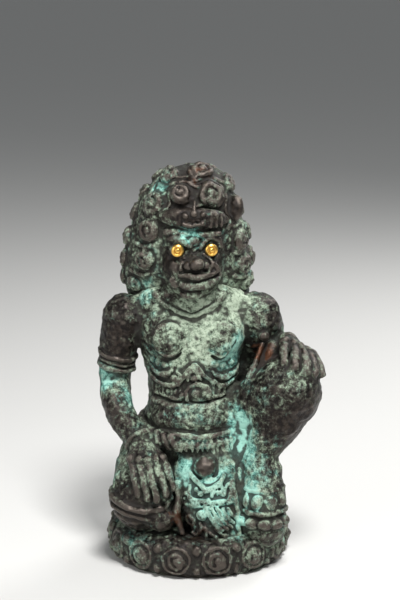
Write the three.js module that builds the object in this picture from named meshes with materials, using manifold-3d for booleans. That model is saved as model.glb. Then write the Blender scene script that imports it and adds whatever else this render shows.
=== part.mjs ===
// A guardian deity of Java, cast in bronze in one piece with its round base, with two inlaid gold eyes.
// The figure half kneels: its right knee is down with the hand laid on it, and its left knee is raised
// with the other hand over it. Lengths are millimetres, +Z is up, and the figure faces -Y, so that its
// right hand is on the -X side. The origin is the centre of the base's underside.
import * as THREE from "three";
import { mergeVertices } from "three/addons/utils/BufferGeometryUtils.js";
import Module from "manifold-3d";

const wasm = await Module();
wasm.setup();

const at = (x, y, z) => new THREE.Vector3(x, y, z);
const UP = at(0, 0, 1);
const FORWARD = at(0, -1, 0);
const FULL_TURN = 2 * Math.PI;
const radians = THREE.MathUtils.degToRad;
const mix = THREE.MathUtils.lerp;

// A limb with fewer sides than this is slim
const SLIM_SIDES = 6;

// Base
const BASE_RADIUS = 27;
const BASE_HEIGHT = 11.2;
const FOOT_RADIUS = 24.4;
const ROSETTE_COUNT = 14;
const ROSETTE_RADIUS = 4.2;
const ROSETTE_HEIGHT = 6;
const FIRST_ROSETTE = -14;

// Level slices of the trunk and the hair: height, centre x and y, half width, half depth
const TRUNK = [
  [9, 0, 2.5, 18.5, 15],
  [33, -0.8, 0.5, 16.5, 14],
  [41, -1.6, -1.4, 14.8, 13.4],
  [47, -1.9, -2.2, 13.6, 13],
  [51, -1.9, -1.4, 13, 11.6],
  [60, -2, -0.7, 14.3, 11.4],
  [71, -2, 0.2, 17.6, 11],
  [76.5, -2.2, 0.4, 18.8, 10.4],
  [81, -2.2, -0.4, 15.6, 10],
  [86, -2, -1, 9, 9],
];
const HAIR = [
  [71, -2.8, 9.6, 11.5, 3.4],
  [77, -3, 6.8, 17.6, 8],
  [83, -3.2, 4.6, 18.4, 11.2],
  [90, -3.3, 3.4, 18.4, 13.4],
  [98, -3.2, 2.4, 17.2, 14],
  [105.5, -3, 1.8, 15.2, 13],
  [111.6, -2.6, 1.4, 13, 11.6],
  [116.2, -1.6, 1.4, 9.2, 8.6],
  [118.8, -1.2, 1.4, 4.8, 4.6],
];

// Landmarks of the pose
const RIGHT_SHOULDER = at(-21.8, -0.3, 73.2);
const RIGHT_ELBOW = at(-25.2, 1.2, 54);
const RIGHT_WRIST = at(-17, -11.8, 37);
const RIGHT_HIP = at(-12.4, 1, 30.8);
const RIGHT_KNEE = at(-16.2, -12, 20.2);
const RIGHT_ANKLE = at(-18.5, 12, 15.5);
const LEFT_SHOULDER = at(17.4, -0.2, 73.4);
const LEFT_ELBOW = at(20.8, 4.4, 61.6);
const LEFT_WRIST = at(26.6, -3.2, 65);
const LEFT_HIP = at(7, -1, 39);
const LEFT_KNEE = at(26.2, -10.8, 53);
const LEFT_ANKLE = at(19.2, -15.4, 24);
const KNEE_RADIUS = 9.9;
const RAISED_KNEE_RADIUS = 10.2;

// Head: the middle of the face, how far it turns to the figure's left in degrees, and the eye inlays
const FACE = at(-1, -15, 93);
const FACE_TURN = 5;
const FACE_WIDTH = 18;
const FACE_HEIGHT = 22;
const EYE_SPACING = 9.7;
const EYE_LIFT = 2.6;
const EYE_RADIUS = 1.85;
const EYE_THICKNESS = 1.3;
const SEAT_GAP = 0.3;
const SEAT_LENGTH = 4;

// Rows of curls: height, how many, and the first and last bearing in degrees from the face, leaving it free
const CURL_RADIUS = 3.5;
const CURL_ROOT = 9;
const FRONT_CURL_SIDES = 6;
const BACK_CURL_SIDES = 6;
const CURL_ROWS = [
  [77.2, 4, 122, 238],
  [83.4, 6, 68, 294],
  [91, 8, 55, 312],
  [98.8, 8, 56, 316],
  [106.2, 7, 58, 314],
  [110.8, 2, -20, 27],
  [113.8, 4, 64, 304],
  [117, 2, 2, 182],
];

// Lumps of the face: left, up, how far out, half width and half height of each
const FACE_LUMPS = [
  [0, -1, 4.4, 1.6, 2.1],
  [-2.9, -1.8, 2.2, 1.3, 1.2],
  [2.9, -1.8, 2.2, 1.3, 1.2],
  [0, 2.6, 1.4, 1.2, 2],
  [-4.85, 2.6, 1.5, 2.4, 2.1],
  [4.85, 2.6, 1.5, 2.4, 2.1],
  [-5.8, -2.8, 1.6, 2.3, 2.4],
  [5.8, -2.8, 1.6, 2.3, 2.4],
  [0, -9.2, 2, 3.2, 1.8],
];

// A closed geometry as a solid: shared corners merged, and triangles with two equal corners dropped.
function solid(geometry, matrix) {
  const bare = geometry.index ? geometry.toNonIndexed() : geometry.clone();
  bare.deleteAttribute("normal");
  bare.deleteAttribute("uv");
  if (matrix) bare.applyMatrix4(matrix);
  const merged = mergeVertices(bare, 1e-4);
  const corners = merged.index.array;
  const kept = [];
  for (let i = 0; i < corners.length; i += 3) {
    const [a, b, c] = [corners[i], corners[i + 1], corners[i + 2]];
    if (a !== b && b !== c && c !== a) kept.push(a, b, c);
  }
  const vertProperties = merged.attributes.position.array;
  return new wasm.Manifold(
    new wasm.Mesh({ numProp: 3, vertProperties, triVerts: new Uint32Array(kept) }),
  );
}

// Several solids joined into one.
function join(solids) {
  return solids.reduce((whole, next) => whole.add(next));
}

// What a function makes for the figure's right side and for its left.
const bothSides = (make) => [make(-1), make(1)];

// What a function makes for each number from 0 up to a count.
const repeat = (count, make) => Array.from({ length: count }, (_, i) => make(i));

// An ellipse of points round a centre, from one direction towards the other.
function ellipse(centre, first, second, sides) {
  return repeat(sides, (i) => {
    const turn = (FULL_TURN * i) / sides;
    return centre.clone().addScaledVector(first, Math.cos(turn)).addScaledVector(second, Math.sin(turn));
  });
}

// A solid skinned over rings of points that turn the same way, closed by a point at each end.
function skin(rings, first, last) {
  const sides = rings[0].length;
  const points = [...rings.flat(), first, last];
  const firstIndex = rings.length * sides;
  const topRing = firstIndex - sides;
  const index = [];
  for (let s = 0; s < sides; s++) {
    const t = (s + 1) % sides;
    for (let r = 0; r < topRing; r += sides) {
      index.push(r + s, r + t, r + sides + t, r + s, r + sides + t, r + sides + s);
    }
    index.push(firstIndex, t, s, firstIndex + 1, topRing + s, topRing + t);
  }
  const geometry = new THREE.BufferGeometry().setFromPoints(points);
  geometry.setIndex(index);
  return solid(geometry);
}

// A body skinned over level elliptical slices, each [height, centre x, centre y, half width, half depth].
function stack(slices, sides) {
  const rings = slices.map(([z, x, y, a, b]) => ellipse(at(x, y, z), at(a, 0, 0), at(0, b, 0), sides));
  const [low, high] = [slices[0], slices.at(-1)];
  const dome = 0.25 * Math.min(high[3], high[4]);
  return skin(rings, at(low[1], low[2], low[0]), at(high[1], high[2], high[0] + dome));
}

// The point and outward normal of a stack at a height and a bearing, in degrees from the front towards +X.
function onStack(slices, height, bearing) {
  const spot = (z, turn) => {
    const above = slices.findIndex((slice) => slice[0] >= z);
    const k = above < 1 ? slices.length - 1 : above;
    const share = (z - slices[k - 1][0]) / (slices[k][0] - slices[k - 1][0]);
    const [x, y, a, b] = [1, 2, 3, 4].map((i) => mix(slices[k - 1][i], slices[k][i], share));
    return at(x + a * Math.sin(turn), y - b * Math.cos(turn), z);
  };
  const turn = radians(bearing);
  const [side, rise] = [0.05, 0.8];
  const along = spot(height, turn + side).sub(spot(height, turn - side));
  const up = spot(height + rise, turn).sub(spot(height - rise, turn));
  return { point: spot(height, turn), normal: along.cross(up).normalize() };
}

// A limb: a rod through stations, each [point, half height, half width], with round ends, or pointed ones
// where it is slim. Half heights lie towards the direction flat. A station without a half width is round.
function limb(stations, sides, steps = 1, flat = UP) {
  const path = new THREE.CatmullRomCurve3(stations.map(([point]) => point), false, "centripetal");
  const spans = stations.length - 1;
  const ringAt = (share, shrink = 1, reach = 0) => {
    const k = Math.min(spans - 1, Math.floor(share * spans));
    const part = share * spans - k;
    const [[, a0, b0 = a0], [, a1, b1 = a1]] = [stations[k], stations[k + 1]];
    const [a, b] = [mix(a0, a1, part) * shrink, mix(b0, b1, part) * shrink];
    const tangent = path.getTangent(share);
    const across = tangent.clone().cross(flat).normalize();
    const along = across.clone().cross(tangent).multiplyScalar(a);
    return ellipse(path.getPoint(share).addScaledVector(tangent, reach), along, across.multiplyScalar(b), sides);
  };
  const end = (share, sign) => {
    const [, a, b = a] = stations[share * spans];
    const reach = sign * Math.min(a, b);
    const pole = path.getPoint(share).addScaledVector(path.getTangent(share), reach);
    return { pole, ring: ringAt(share, Math.SQRT1_2, reach * Math.SQRT1_2) };
  };
  const [start, finish] = [end(0, -1), end(1, 1)];
  const rings = repeat(spans * steps + 1, (i) => ringAt(i / (spans * steps)));
  const all = sides < SLIM_SIDES ? rings : [start.ring, ...rings, finish.ring];
  return skin(all, start.pole, finish.pole);
}

// A ball, or an egg with three half sizes.
function ball(centre, sizes, across = 8, down = 6) {
  const [a, b, c] = Array.isArray(sizes) ? sizes : [sizes, sizes, sizes];
  const shape = new THREE.SphereGeometry(1, across, down).rotateX(Math.PI / 2).scale(a, b, c);
  return solid(shape, new THREE.Matrix4().setPosition(centre));
}

// The matrix that puts a shape made round +Y on a point, with its axis along a direction.
function standing(point, direction) {
  const turn = new THREE.Quaternion().setFromUnitVectors(at(0, 1, 0), direction.clone().normalize());
  return new THREE.Matrix4().compose(point, turn, at(1, 1, 1));
}

// A turned boss on a surface. Its profile, [radius, height] pairs, runs from the axis inside to the axis outside.
function boss(point, direction, profile, sides, firstBearing = 0) {
  const outline = profile.map(([r, h]) => new THREE.Vector2(r, h));
  return solid(new THREE.LatheGeometry(outline, sides, radians(firstBearing)), standing(point, direction));
}

// The profile of a curl or rosette: a root that narrows inwards, a rim, a groove inside it and a raised eye.
function ringProfile(radius, lift, root) {
  return [
    [0, -root],
    [radius, lift],
    [radius * 0.55, lift * 0.3],
    [0, lift * 1.25],
  ];
}

// A ring of rod whose axis is a direction.
function hoop(centre, direction, radius, thickness, around = 12, section = 4) {
  const shape = new THREE.TorusGeometry(radius, thickness, section, around).rotateX(Math.PI / 2);
  return solid(shape, standing(centre, direction));
}

// The base: a low round cushion with a ring of rosettes.
function base() {
  const profile = [
    [0, 0],
    [FOOT_RADIUS, 0],
    [BASE_RADIUS, 1.8],
    [BASE_RADIUS, 9.4],
    [BASE_RADIUS - 2.6, BASE_HEIGHT],
    [0, BASE_HEIGHT],
  ];
  const rosettes = repeat(ROSETTE_COUNT, (i) => {
    const turn = radians(FIRST_ROSETTE + (360 * i) / ROSETTE_COUNT);
    const out = at(Math.sin(turn), -Math.cos(turn), 0);
    const point = out.clone().multiplyScalar(BASE_RADIUS).setZ(ROSETTE_HEIGHT);
    return boss(point, out.setZ(0.08), ringProfile(ROSETTE_RADIUS, 1.2, 14), 7);
  });
  return join([boss(at(0, 0, 0), UP, profile, 2 * ROSETTE_COUNT, FIRST_ROSETTE), ...rosettes]);
}

function trunk() {
  const seat = ball(at(0, 9, 20), [17, 11, 11], 9, 5);
  const collar = limb(
    [
      [at(-11, -8, 82.4), 0.9],
      [at(-0.9, -10.3, 76.8), 1.2],
      [at(9.6, -5.4, 83), 0.9],
    ],
    4,
    2,
  );
  return join([stack(TRUNK, 12), seat, collar]);
}

// The breasts, and under them the band with its clasp, crest, swags and beads.
function chestOrnament() {
  const breast = (x, radius) => {
    const dome = [
      [0, -5],
      [radius, 0.6],
      [radius * 0.62, 1.5],
      [0, 2.3],
    ];
    return boss(at(x, -11.3, 68.2), at(x * 0.03, -1, -0.06), dome, 10);
  };
  const clasp = boss(at(-0.2, -11.8, 53.4), FORWARD, ringProfile(3.8, 2.1, 6), 9);
  const peak = [
    [0, -4],
    [4.8, 0.5],
    [3, 1.9],
    [0, 1.1],
  ];
  const crest = boss(at(-0.8, -11.8, 58), at(0, -1, 0.1), peak, 3, 180);
  const swag = (side) => {
    const spot = (height, bearing) => onStack(TRUNK, height, 5 + side * bearing).point;
    return limb([[spot(58, 20), 1.1], [spot(56.6, 43), 1.9, 1.4], [spot(59.4, 66), 1.2]], 5);
  };
  const bud = (side) => ball(onStack(TRUNK, 60.4, 5 + 32 * side).point, [2, 1.4, 1.5], 5, 3);
  return join([
    breast(-8.2, 4.9),
    breast(6.9, 4.3),
    clasp,
    crest,
    ...bothSides(swag),
    ...bothSides(bud),
  ]);
}

// The hip belt: a cord that sags in front, with ribs under it there and three loops over the right hip.
function belt() {
  const height = (bearing) => 41.4 - 1.6 * Math.cos(radians(bearing - 10));
  const spot = (bearing, drop, out) => {
    const { point, normal } = onStack(TRUNK, height(bearing) - drop, bearing);
    return point.addScaledVector(normal.setZ(0).normalize(), out);
  };
  const cordSteps = 16;
  const bearings = repeat(cordSteps, (i) => (360 * i) / cordSteps);
  const line = new THREE.CatmullRomCurve3(bearings.map((bearing) => spot(bearing, 0, 0.5)), true);
  const section = new THREE.Shape();
  section.absellipse(0, 0, 1, 1.3, 0, FULL_TURN);
  const cord = new THREE.ExtrudeGeometry(section, { steps: cordSteps, curveSegments: 2, extrudePath: line });
  const ribs = repeat(6, (i) => ball(spot(-10 + 8.4 * i, 2.6, 1.5), [1, 1.7, 2.3], 4, 3));
  const loops = [-22, -39, -56].map((bearing) => {
    const { normal } = onStack(TRUNK, height(bearing), bearing);
    return hoop(spot(bearing, 1.8, 1.6), normal.setZ(-0.2), 2, 1, 7, 3);
  });
  return join([solid(cord), ...ribs, ...loops]);
}

// A hand whose five fingers run from a line of knuckles to a line of tips.
function hand(wrist, knuckles, tips, thickness, rise) {
  const [first, middle, last] = knuckles;
  const width = first.distanceTo(last) / 2;
  const palm = limb(
    [
      [wrist, 3.4, 3.4],
      [middle, 2.1, width],
    ],
    6,
    1,
    rise,
  );
  const [roots, ends] = [knuckles, tips].map((line) => new THREE.CatmullRomCurve3(line));
  const fingers = repeat(5, (i) => {
    const [root, tip] = [roots.getPoint(i / 4), ends.getPoint(i / 4)];
    const bend = root.clone().lerp(tip, 0.5).addScaledVector(rise, 0.9);
    return limb([[root, thickness], [bend, thickness], [tip, thickness * 0.85]], 4);
  });
  return join([palm, ...fingers]);
}

function rightArm() {
  const arm = limb(
    [
      [RIGHT_SHOULDER, 7.2],
      [at(-23.6, 0, 64), 5.8],
      [RIGHT_ELBOW, 4.9],
      [at(-23.7, -5.2, 45.4), 4.4],
      [RIGHT_WRIST, 3.9],
    ],
    8,
    1,
    FORWARD,
  );
  const armlets = [
    [61.6, 5.6],
    [58.4, 5.4],
  ].map(([z, radius]) => {
    const share = (RIGHT_SHOULDER.z - z) / (RIGHT_SHOULDER.z - RIGHT_ELBOW.z);
    return hoop(RIGHT_SHOULDER.clone().lerp(RIGHT_ELBOW, share), at(0.25, -0.1, 1), radius, 0.8, 8, 3);
  });
  const knuckles = [at(-19.6, -15.6, 33.8), at(-14.8, -18, 34), at(-10.6, -16.6, 34)];
  const tips = [at(-18, -20.8, 24.8), at(-12, -22.6, 23.6), at(-7.4, -19.8, 26)];
  const knob = boss(at(-17.8, -14.6, 36.4), at(-0.2, -1, 0.2), ringProfile(2, 1.4, 4), 6);
  return join([arm, ...armlets, knob, hand(RIGHT_WRIST, knuckles, tips, 1.35, at(0, -0.9, 0.44))]);
}

function leftArm() {
  const arm = limb(
    [
      [LEFT_SHOULDER, 7.3],
      [at(19.4, 2.2, 67.4), 6],
      [LEFT_ELBOW, 5],
      [LEFT_WRIST, 3.8],
    ],
    8,
    1,
    FORWARD,
  );
  const armlet = hoop(at(19.3, 2, 67.6), LEFT_SHOULDER.clone().sub(LEFT_ELBOW), 6, 0.9, 8, 3);
  const web = ball(at(15, 3.4, 60.5), [7, 2.6, 9.5], 7, 4);
  const knuckles = [at(25.6, -8.4, 67), at(30.2, -9, 65), at(33.6, -5.6, 62)];
  const tips = [at(24.6, -15.4, 63), at(31.6, -17.6, 60.8), at(36.2, -11.8, 58.4)];
  const pad = ball(at(29.6, -8.2, 61.6), [6, 5.6, 3.6], 7, 4);
  return join([arm, armlet, web, pad, hand(LEFT_WRIST, knuckles, tips, 1.6, at(0.3, -0.5, 0.81))]);
}

// The right leg, folded under: thigh, knee with a hem round it, and the shin and foot that lie behind.
function kneelingLeg() {
  const thigh = limb([[RIGHT_HIP, 10.8], [RIGHT_KNEE, KNEE_RADIUS]], 10);
  const shin = limb([[RIGHT_KNEE.clone().add(at(0, 3, -3)), 7], [RIGHT_ANKLE, 5.4]], 8);
  const hem = hoop(RIGHT_KNEE.clone().add(at(0.3, -0.2, 1)), at(0.05, -0.12, 1), KNEE_RADIUS - 0.6, 1.1, 10, 3);
  const foot = limb([[RIGHT_ANKLE, 4.4, 4.8], [at(-10, 19.5, 13.4), 2.8, 4]], 8);
  return join([thigh, shin, hem, foot]);
}

// The left leg with its knee raised: thigh, calf, anklet, foot with toes, and the cloth's edge inside it.
function raisedLeg() {
  const thigh = limb([[LEFT_HIP, 9], [at(16, -5.6, 46.4), 8.6], [LEFT_KNEE, RAISED_KNEE_RADIUS]], 9);
  const calf = limb(
    [
      [LEFT_KNEE.clone().add(at(-0.8, -0.4, -1)), 8],
      [at(23.4, -11.6, 46.4), 8.5],
      [at(20.6, -12.6, 40.2), 6.4],
      [at(18.4, -13, 33.6), 5.4],
      [LEFT_ANKLE, 6.5],
      [at(19.2, -14.6, 14), 6.8],
    ],
    8,
    1,
    FORWARD,
  );
  const bead = (z, reach, sizes) => (bearing) => {
    const turn = radians(bearing);
    return ball(at(LEFT_ANKLE.x + reach * Math.sin(turn), LEFT_ANKLE.y - reach * Math.cos(turn), z), sizes, 4, 3);
  };
  const upper = [-56, -18, 20, 58].map(bead(22, 6.3, [2, 1.7, 2]));
  const toes = [-52, -20, 12, 44].map(bead(16.2, 6.8, [1.8, 2.2, 1.7]));
  const anklet = hoop(LEFT_ANKLE.clone().setZ(19.4), at(0.05, 0.1, 1), 6.8, 0.9, 8, 3);
  const cloth = limb(
    [
      [at(22, -5, 64.6), 1.6, 2.4],
      [at(17.8, -8, 56.4), 1.8, 3],
      [at(14.6, -10.6, 48), 2, 2.4],
      [at(14.2, -11.8, 36), 2, 1.6],
    ],
    6,
    1,
    FORWARD,
  );
  return join([thigh, calf, anklet, cloth, ...upper, ...toes]);
}

// The sash that hangs between the legs: a boss, a crescent, two ribbed loops and a fan of strands.
function sash() {
  const cloth = limb(
    [
      [at(2.4, -11.8, 32), 5, 9.6],
      [at(3, -14.4, 27), 4.8, 9.4],
      [at(4, -16.4, 20), 4.4, 8.8],
      [at(4.6, -17.4, 14), 4, 7.6],
    ],
    8,
    1,
    FORWARD,
  );
  const jewel = [
    [0, -7],
    [4, 0.6],
    [2.4, 2.1],
    [0, 2.9],
  ];
  const crescent = limb(
    [
      [at(-2.8, -18, 30.4), 0.6],
      [at(0, -19.2, 27.4), 0.9],
      [at(4.4, -19.2, 27), 0.9],
      [at(7.2, -18.4, 29.6), 0.6],
    ],
    4,
  );
  const loops = [at(0, -19.5, 23.6), at(7, -19.3, 25)].map((centre) => hoop(centre, at(0, -1, 0.1), 2.2, 0.9, 7, 3));
  const strands = repeat(3, (i) =>
    limb(
      [
        [at(1.2 + 2.8 * i, -19.8, 21.4), 0.9],
        [at(4 + 3.2 * i, -20.6, 14.6 + 0.6 * i), 1.1],
      ],
      4,
    ),
  );
  const tails = [at(-1.4, -19.4, 14.6), at(1.2, -20.4, 13)].map((centre) => ball(centre, [1.7, 1.4, 1.7], 5, 3));
  return join([cloth, boss(at(2.2, -17.8, 31.6), at(0, -1, 0.1), jewel, 9), crescent, ...loops, ...strands, ...tails]);
}

// The hair: a domed mass, open in front for the face, under rows of curls, with a band over the brow. The curls
// in front are rings with a raised eye, and those behind are shallow cups.
function hair() {
  const curls = CURL_ROWS.flatMap(([height, count, first, last]) =>
    repeat(count, (i) => {
      const { point, normal } = onStack(HAIR, height, mix(first, last, i / (count - 1)));
      const profile = ringProfile(CURL_RADIUS, 1.4, CURL_ROOT);
      if (point.y < 0) return boss(point, normal, profile, FRONT_CURL_SIDES);
      const [root, rim, groove] = profile;
      return boss(point, normal, [root, rim, [0, groove[1]]], BACK_CURL_SIDES);
    }),
  );
  const band = limb(
    [
      [at(-11, -8.8, 103.4), 1.2, 1.4],
      [at(-6.2, -11.9, 104.2), 2.2, 1.7],
      [at(-0.9, -13.1, 103.8), 2.5, 1.8],
      [at(4.4, -11.7, 104.4), 2.2, 1.7],
      [at(8.6, -8.4, 104), 1.2, 1.4],
    ],
    7,
  );
  return join([stack(HAIR, 12), band, ...curls]);
}

// A point of the face: to the figure's left, up and out from the face's middle.
function onFace(left, up, out) {
  return at(left, -out, up).applyAxisAngle(UP, radians(FACE_TURN)).add(FACE);
}

// How far out the face stands at a place on it: a broad curve with lumps for nose, cheeks, eye mounds and chin.
function faceRelief(left, up) {
  const curve = 8 * Math.sqrt(Math.max(0, 1 - (left / 9.8) ** 2 - ((up + 0.6) / 14) ** 2)) - 8;
  const lumps = FACE_LUMPS.map(
    ([x, z, out, a, b]) => out * Math.exp(-(((left - x) / a) ** 2) - ((up - z) / b) ** 2),
  );
  return lumps.reduce((sum, lump) => sum + lump, curve);
}

// The guardian's face: frowning brows that meet in a knob, a broad nose, and a wide mouth with thick lips.
function face() {
  const depth = 8;
  const taperAt = (up) => (1 - Math.abs(up / 12) ** 3.2) ** 0.45;
  const mask = new THREE.BoxGeometry(FACE_WIDTH, depth, FACE_HEIGHT, 8, 1, 9);
  const corners = mask.attributes.position;
  for (let i = 0; i < corners.count; i++) {
    const [left, up] = [corners.getX(i), corners.getZ(i)];
    const front = corners.getY(i) < 0;
    const across = left * taperAt(up);
    corners.setXYZ(i, across, front ? -faceRelief(across, up) : depth + 5, up);
  }
  mask.rotateZ(radians(FACE_TURN)).translate(FACE.x, FACE.y, FACE.z);
  const brow = (side) =>
    limb(
      [
        [onFace(side * 1.4, 4.6, 1.2), 1.1],
        [onFace(side * 4.6, 6.2, 0), 1.1],
        [onFace(side * 7.6, 4.8, -3.4), 0.8],
      ],
      4,
      2,
    );
  const lip = (up, ends, out, size) =>
    limb(
      [
        [onFace(-5.6, ends, -1.8), size * 0.8],
        [onFace(0, up, out), size],
        [onFace(6.2, ends, -2), size * 0.8],
      ],
      4,
      2,
    );
  const corner = hoop(onFace(-6.2, -6.4, -2.4), at(-0.4, -1, 0), 1.5, 0.8, 6, 3);
  const knob = ball(onFace(0, 5.6, 0.8), [1.6, 1.3, 1.6], 6, 4);
  return join([solid(mask), knob, ...bothSides(brow), lip(-4.8, -5.2, 1.6, 1), lip(-7.5, -6.8, 1.2, 1.15), corner]);
}

// Where the back of an eye inlay stands, and which way it looks.
function eyeSeat(side) {
  const out = at(0.08 * side, -1, 0.02).applyAxisAngle(UP, radians(FACE_TURN));
  return { point: onFace((side * EYE_SPACING) / 2, EYE_LIFT, -1.1), out };
}

// The seat cut for an eye, wider and deeper than the inlay by a hairline gap.
function eyePocket(side) {
  const { point, out } = eyeSeat(side);
  const radius = EYE_RADIUS + SEAT_GAP;
  return boss(point, out, [[0, -SEAT_GAP], [radius, -SEAT_GAP], [radius, SEAT_LENGTH], [0, SEAT_LENGTH]], 12);
}

// An eye: a low domed gold disc with a ring engraved round its pupil.
function eyeInlay(side) {
  const { point, out } = eyeSeat(side);
  const profile = [
    [0, 0],
    [1, 0],
    [1, 0.65],
    [0.5, 0.8],
    [0.36, 1],
    [0, 1.05],
  ].map(([r, h]) => [r * EYE_RADIUS, h * EYE_THICKNESS]);
  return boss(point, out, profile, 12);
}

// A named mesh of a solid, in its material.
function mesh(name, made, material) {
  const { numProp, vertProperties, triVerts } = made.getMesh();
  const geometry = new THREE.BufferGeometry();
  geometry.setAttribute("position", new THREE.BufferAttribute(vertProperties, numProp));
  geometry.setIndex(new THREE.BufferAttribute(triVerts, 1));
  geometry.computeVertexNormals();
  const result = new THREE.Mesh(geometry, material);
  result.name = name;
  return result;
}

const BRONZE = new THREE.MeshStandardMaterial({ color: 0x4a5f55, roughness: 0.6, metalness: 0.6 });
const GOLD = new THREE.MeshStandardMaterial({ color: 0xe9b95c, roughness: 0.3, metalness: 1 });

const parts = {
  base: base(),
  trunk: trunk(),
  chest: chestOrnament(),
  belt: belt(),
  rightArm: rightArm(),
  leftArm: leftArm(),
  kneelingLeg: kneelingLeg(),
  raisedLeg: raisedLeg(),
  sash: sash(),
  hair: hair(),
  face: face(),
};
const casting = bothSides(eyePocket).reduce((whole, pocket) => whole.subtract(pocket), join(Object.values(parts)));

const figure = new THREE.Group();
figure.add(mesh("cast_bronze_figure", casting, BRONZE));
figure.add(mesh("gold_eye_right", eyeInlay(-1), GOLD));
figure.add(mesh("gold_eye_left", eyeInlay(1), GOLD));

export default figure;
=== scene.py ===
"""A small Javanese guardian, cast in bronze in one piece with its round base, corroded green, with gold eyes.

The forms are modelled as clay: a field of distances in millimetres on a lattice, negative inside, where rods,
pebbles and stacked slices are melted together. What repeats, such as curls, rosettes and ribs, is set out by
Geometry Nodes and melted in as well. Each block of clay then becomes one closed skin in metres.
"""

import logging
import math
from dataclasses import dataclass, field
from enum import Enum
from typing import Any, Callable, Iterable, Protocol, Sequence

import bpy
import numpy as np
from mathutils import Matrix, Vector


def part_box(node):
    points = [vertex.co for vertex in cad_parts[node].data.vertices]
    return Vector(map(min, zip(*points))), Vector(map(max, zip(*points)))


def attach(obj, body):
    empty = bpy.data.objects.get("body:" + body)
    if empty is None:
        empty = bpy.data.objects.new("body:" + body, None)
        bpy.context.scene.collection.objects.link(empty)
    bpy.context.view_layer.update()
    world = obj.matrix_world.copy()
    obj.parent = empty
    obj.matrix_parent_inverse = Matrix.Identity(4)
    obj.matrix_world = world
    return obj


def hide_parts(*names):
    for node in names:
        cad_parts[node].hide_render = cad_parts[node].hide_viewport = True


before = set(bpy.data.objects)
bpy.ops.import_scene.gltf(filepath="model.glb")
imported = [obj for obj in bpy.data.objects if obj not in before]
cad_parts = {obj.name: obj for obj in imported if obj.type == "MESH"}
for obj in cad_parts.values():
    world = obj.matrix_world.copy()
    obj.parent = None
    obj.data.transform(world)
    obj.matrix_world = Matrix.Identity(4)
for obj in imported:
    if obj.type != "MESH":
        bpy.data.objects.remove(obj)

import openvdb
from mathutils import Vector

log = logging.getLogger("guardian")
logging.basicConfig(level=logging.INFO, format="%(message)s")

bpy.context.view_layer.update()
MM = 0.001
FAR = 30.0
BODY = "root"
Point = Sequence[float]
Lattice = tuple[slice, slice, slice]


class Node(Enum):
    """The nodes of the solid model that the pieces here stand for."""

    FIGURE = "cast_bronze_figure"
    RIGHT_EYE = "gold_eye_right"
    LEFT_EYE = "gold_eye_left"


class Slot(Enum):
    """The material slots of the part's record."""

    BRONZE = "bronze"
    GOLD = "gold"


# ---- Forms ----


class Form(Protocol):
    """A form that can be melted into clay."""

    def box(self) -> tuple[np.ndarray, np.ndarray]:
        """The lowest and highest corner that hold the form."""

    def distance(self, x: np.ndarray, y: np.ndarray, z: np.ndarray) -> np.ndarray:
        """About how far each place is from the form's surface, negative inside."""


def smooth_path(points: Sequence[Point], per_span: int = 6, closed: bool = False) -> np.ndarray:
    """A smooth line through points.

    Args:
        points: Rows of numbers, such as x, y, z and radius.
        per_span: Steps from each point to the next.
        closed: Whether the line returns to its first point.

    Returns:
        The points of the line, one row each.
    """
    knots = np.array(points, dtype=float)
    if closed:
        knots = np.vstack([knots[-1:], knots, knots[:2]])
    else:
        knots = np.vstack([2 * knots[0] - knots[1], knots, 2 * knots[-1] - knots[-2]])
    rows = []
    for a, b, c, d in zip(knots, knots[1:], knots[2:], knots[3:]):
        for t in np.arange(per_span) / per_span:
            rows.append(
                0.5 * (2 * b + (c - a) * t + (2 * a - 5 * b + 4 * c - d) * t**2 + (3 * b - a - 3 * c + d) * t**3)
            )
    if not closed:
        rows.append(knots[-2])
    else:
        rows.append(rows[0])
    return np.array(rows)


@dataclass
class Rod:
    """A round rod along a smooth line.

    Attributes:
        points: The line's points, each x, y, z.
        radius: One radius, or one for each point.
        closed: Whether the line returns to its start.
        squash: How flat the rod is, 1 for round.
        flat: The direction in which it is squashed.
        per_span: Steps from each point to the next.
    """

    points: Sequence[Point]
    radius: float | Sequence[float]
    closed: bool = False
    squash: float = 1.0
    flat: Point = (0, -1, 0)
    per_span: int = 6

    def __post_init__(self) -> None:
        """Works out the line once."""
        radii = np.broadcast_to(np.array(self.radius, dtype=float), (len(self.points),))
        rows = np.column_stack([np.array(self.points, dtype=float), radii])
        self.line = smooth_path(rows, self.per_span, self.closed).astype(np.float32)
        self.normal = np.array(Vector(self.flat).normalized(), dtype=np.float32)

    def box(self) -> tuple[np.ndarray, np.ndarray]:
        """The lowest and highest corner that hold the rod."""
        reach = self.line[:, 3].max()
        return self.line[:, :3].min(0) - reach, self.line[:, :3].max(0) + reach

    def distance(self, x: np.ndarray, y: np.ndarray, z: np.ndarray) -> np.ndarray:
        """How far each place is from the rod's surface."""
        best = None
        nx, ny, nz = self.normal
        for a, b in zip(self.line, self.line[1:]):
            along = (b - a)[:3]
            length = max(float(along @ along), 1e-6)
            px, py, pz = x - a[0], y - a[1], z - a[2]
            share = np.clip((px * along[0] + py * along[1] + pz * along[2]) / length, 0, 1)
            px, py, pz = px - share * along[0], py - share * along[1], pz - share * along[2]
            gap = px * px + py * py + pz * pz
            if self.squash != 1.0:
                gap = gap + (self.squash**-2 - 1) * (px * nx + py * ny + pz * nz) ** 2
            here = np.sqrt(gap) - (a[3] + share * (b[3] - a[3]))
            best = here if best is None else np.minimum(best, here)
        return best if self.squash == 1.0 else best * 0.8


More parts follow.
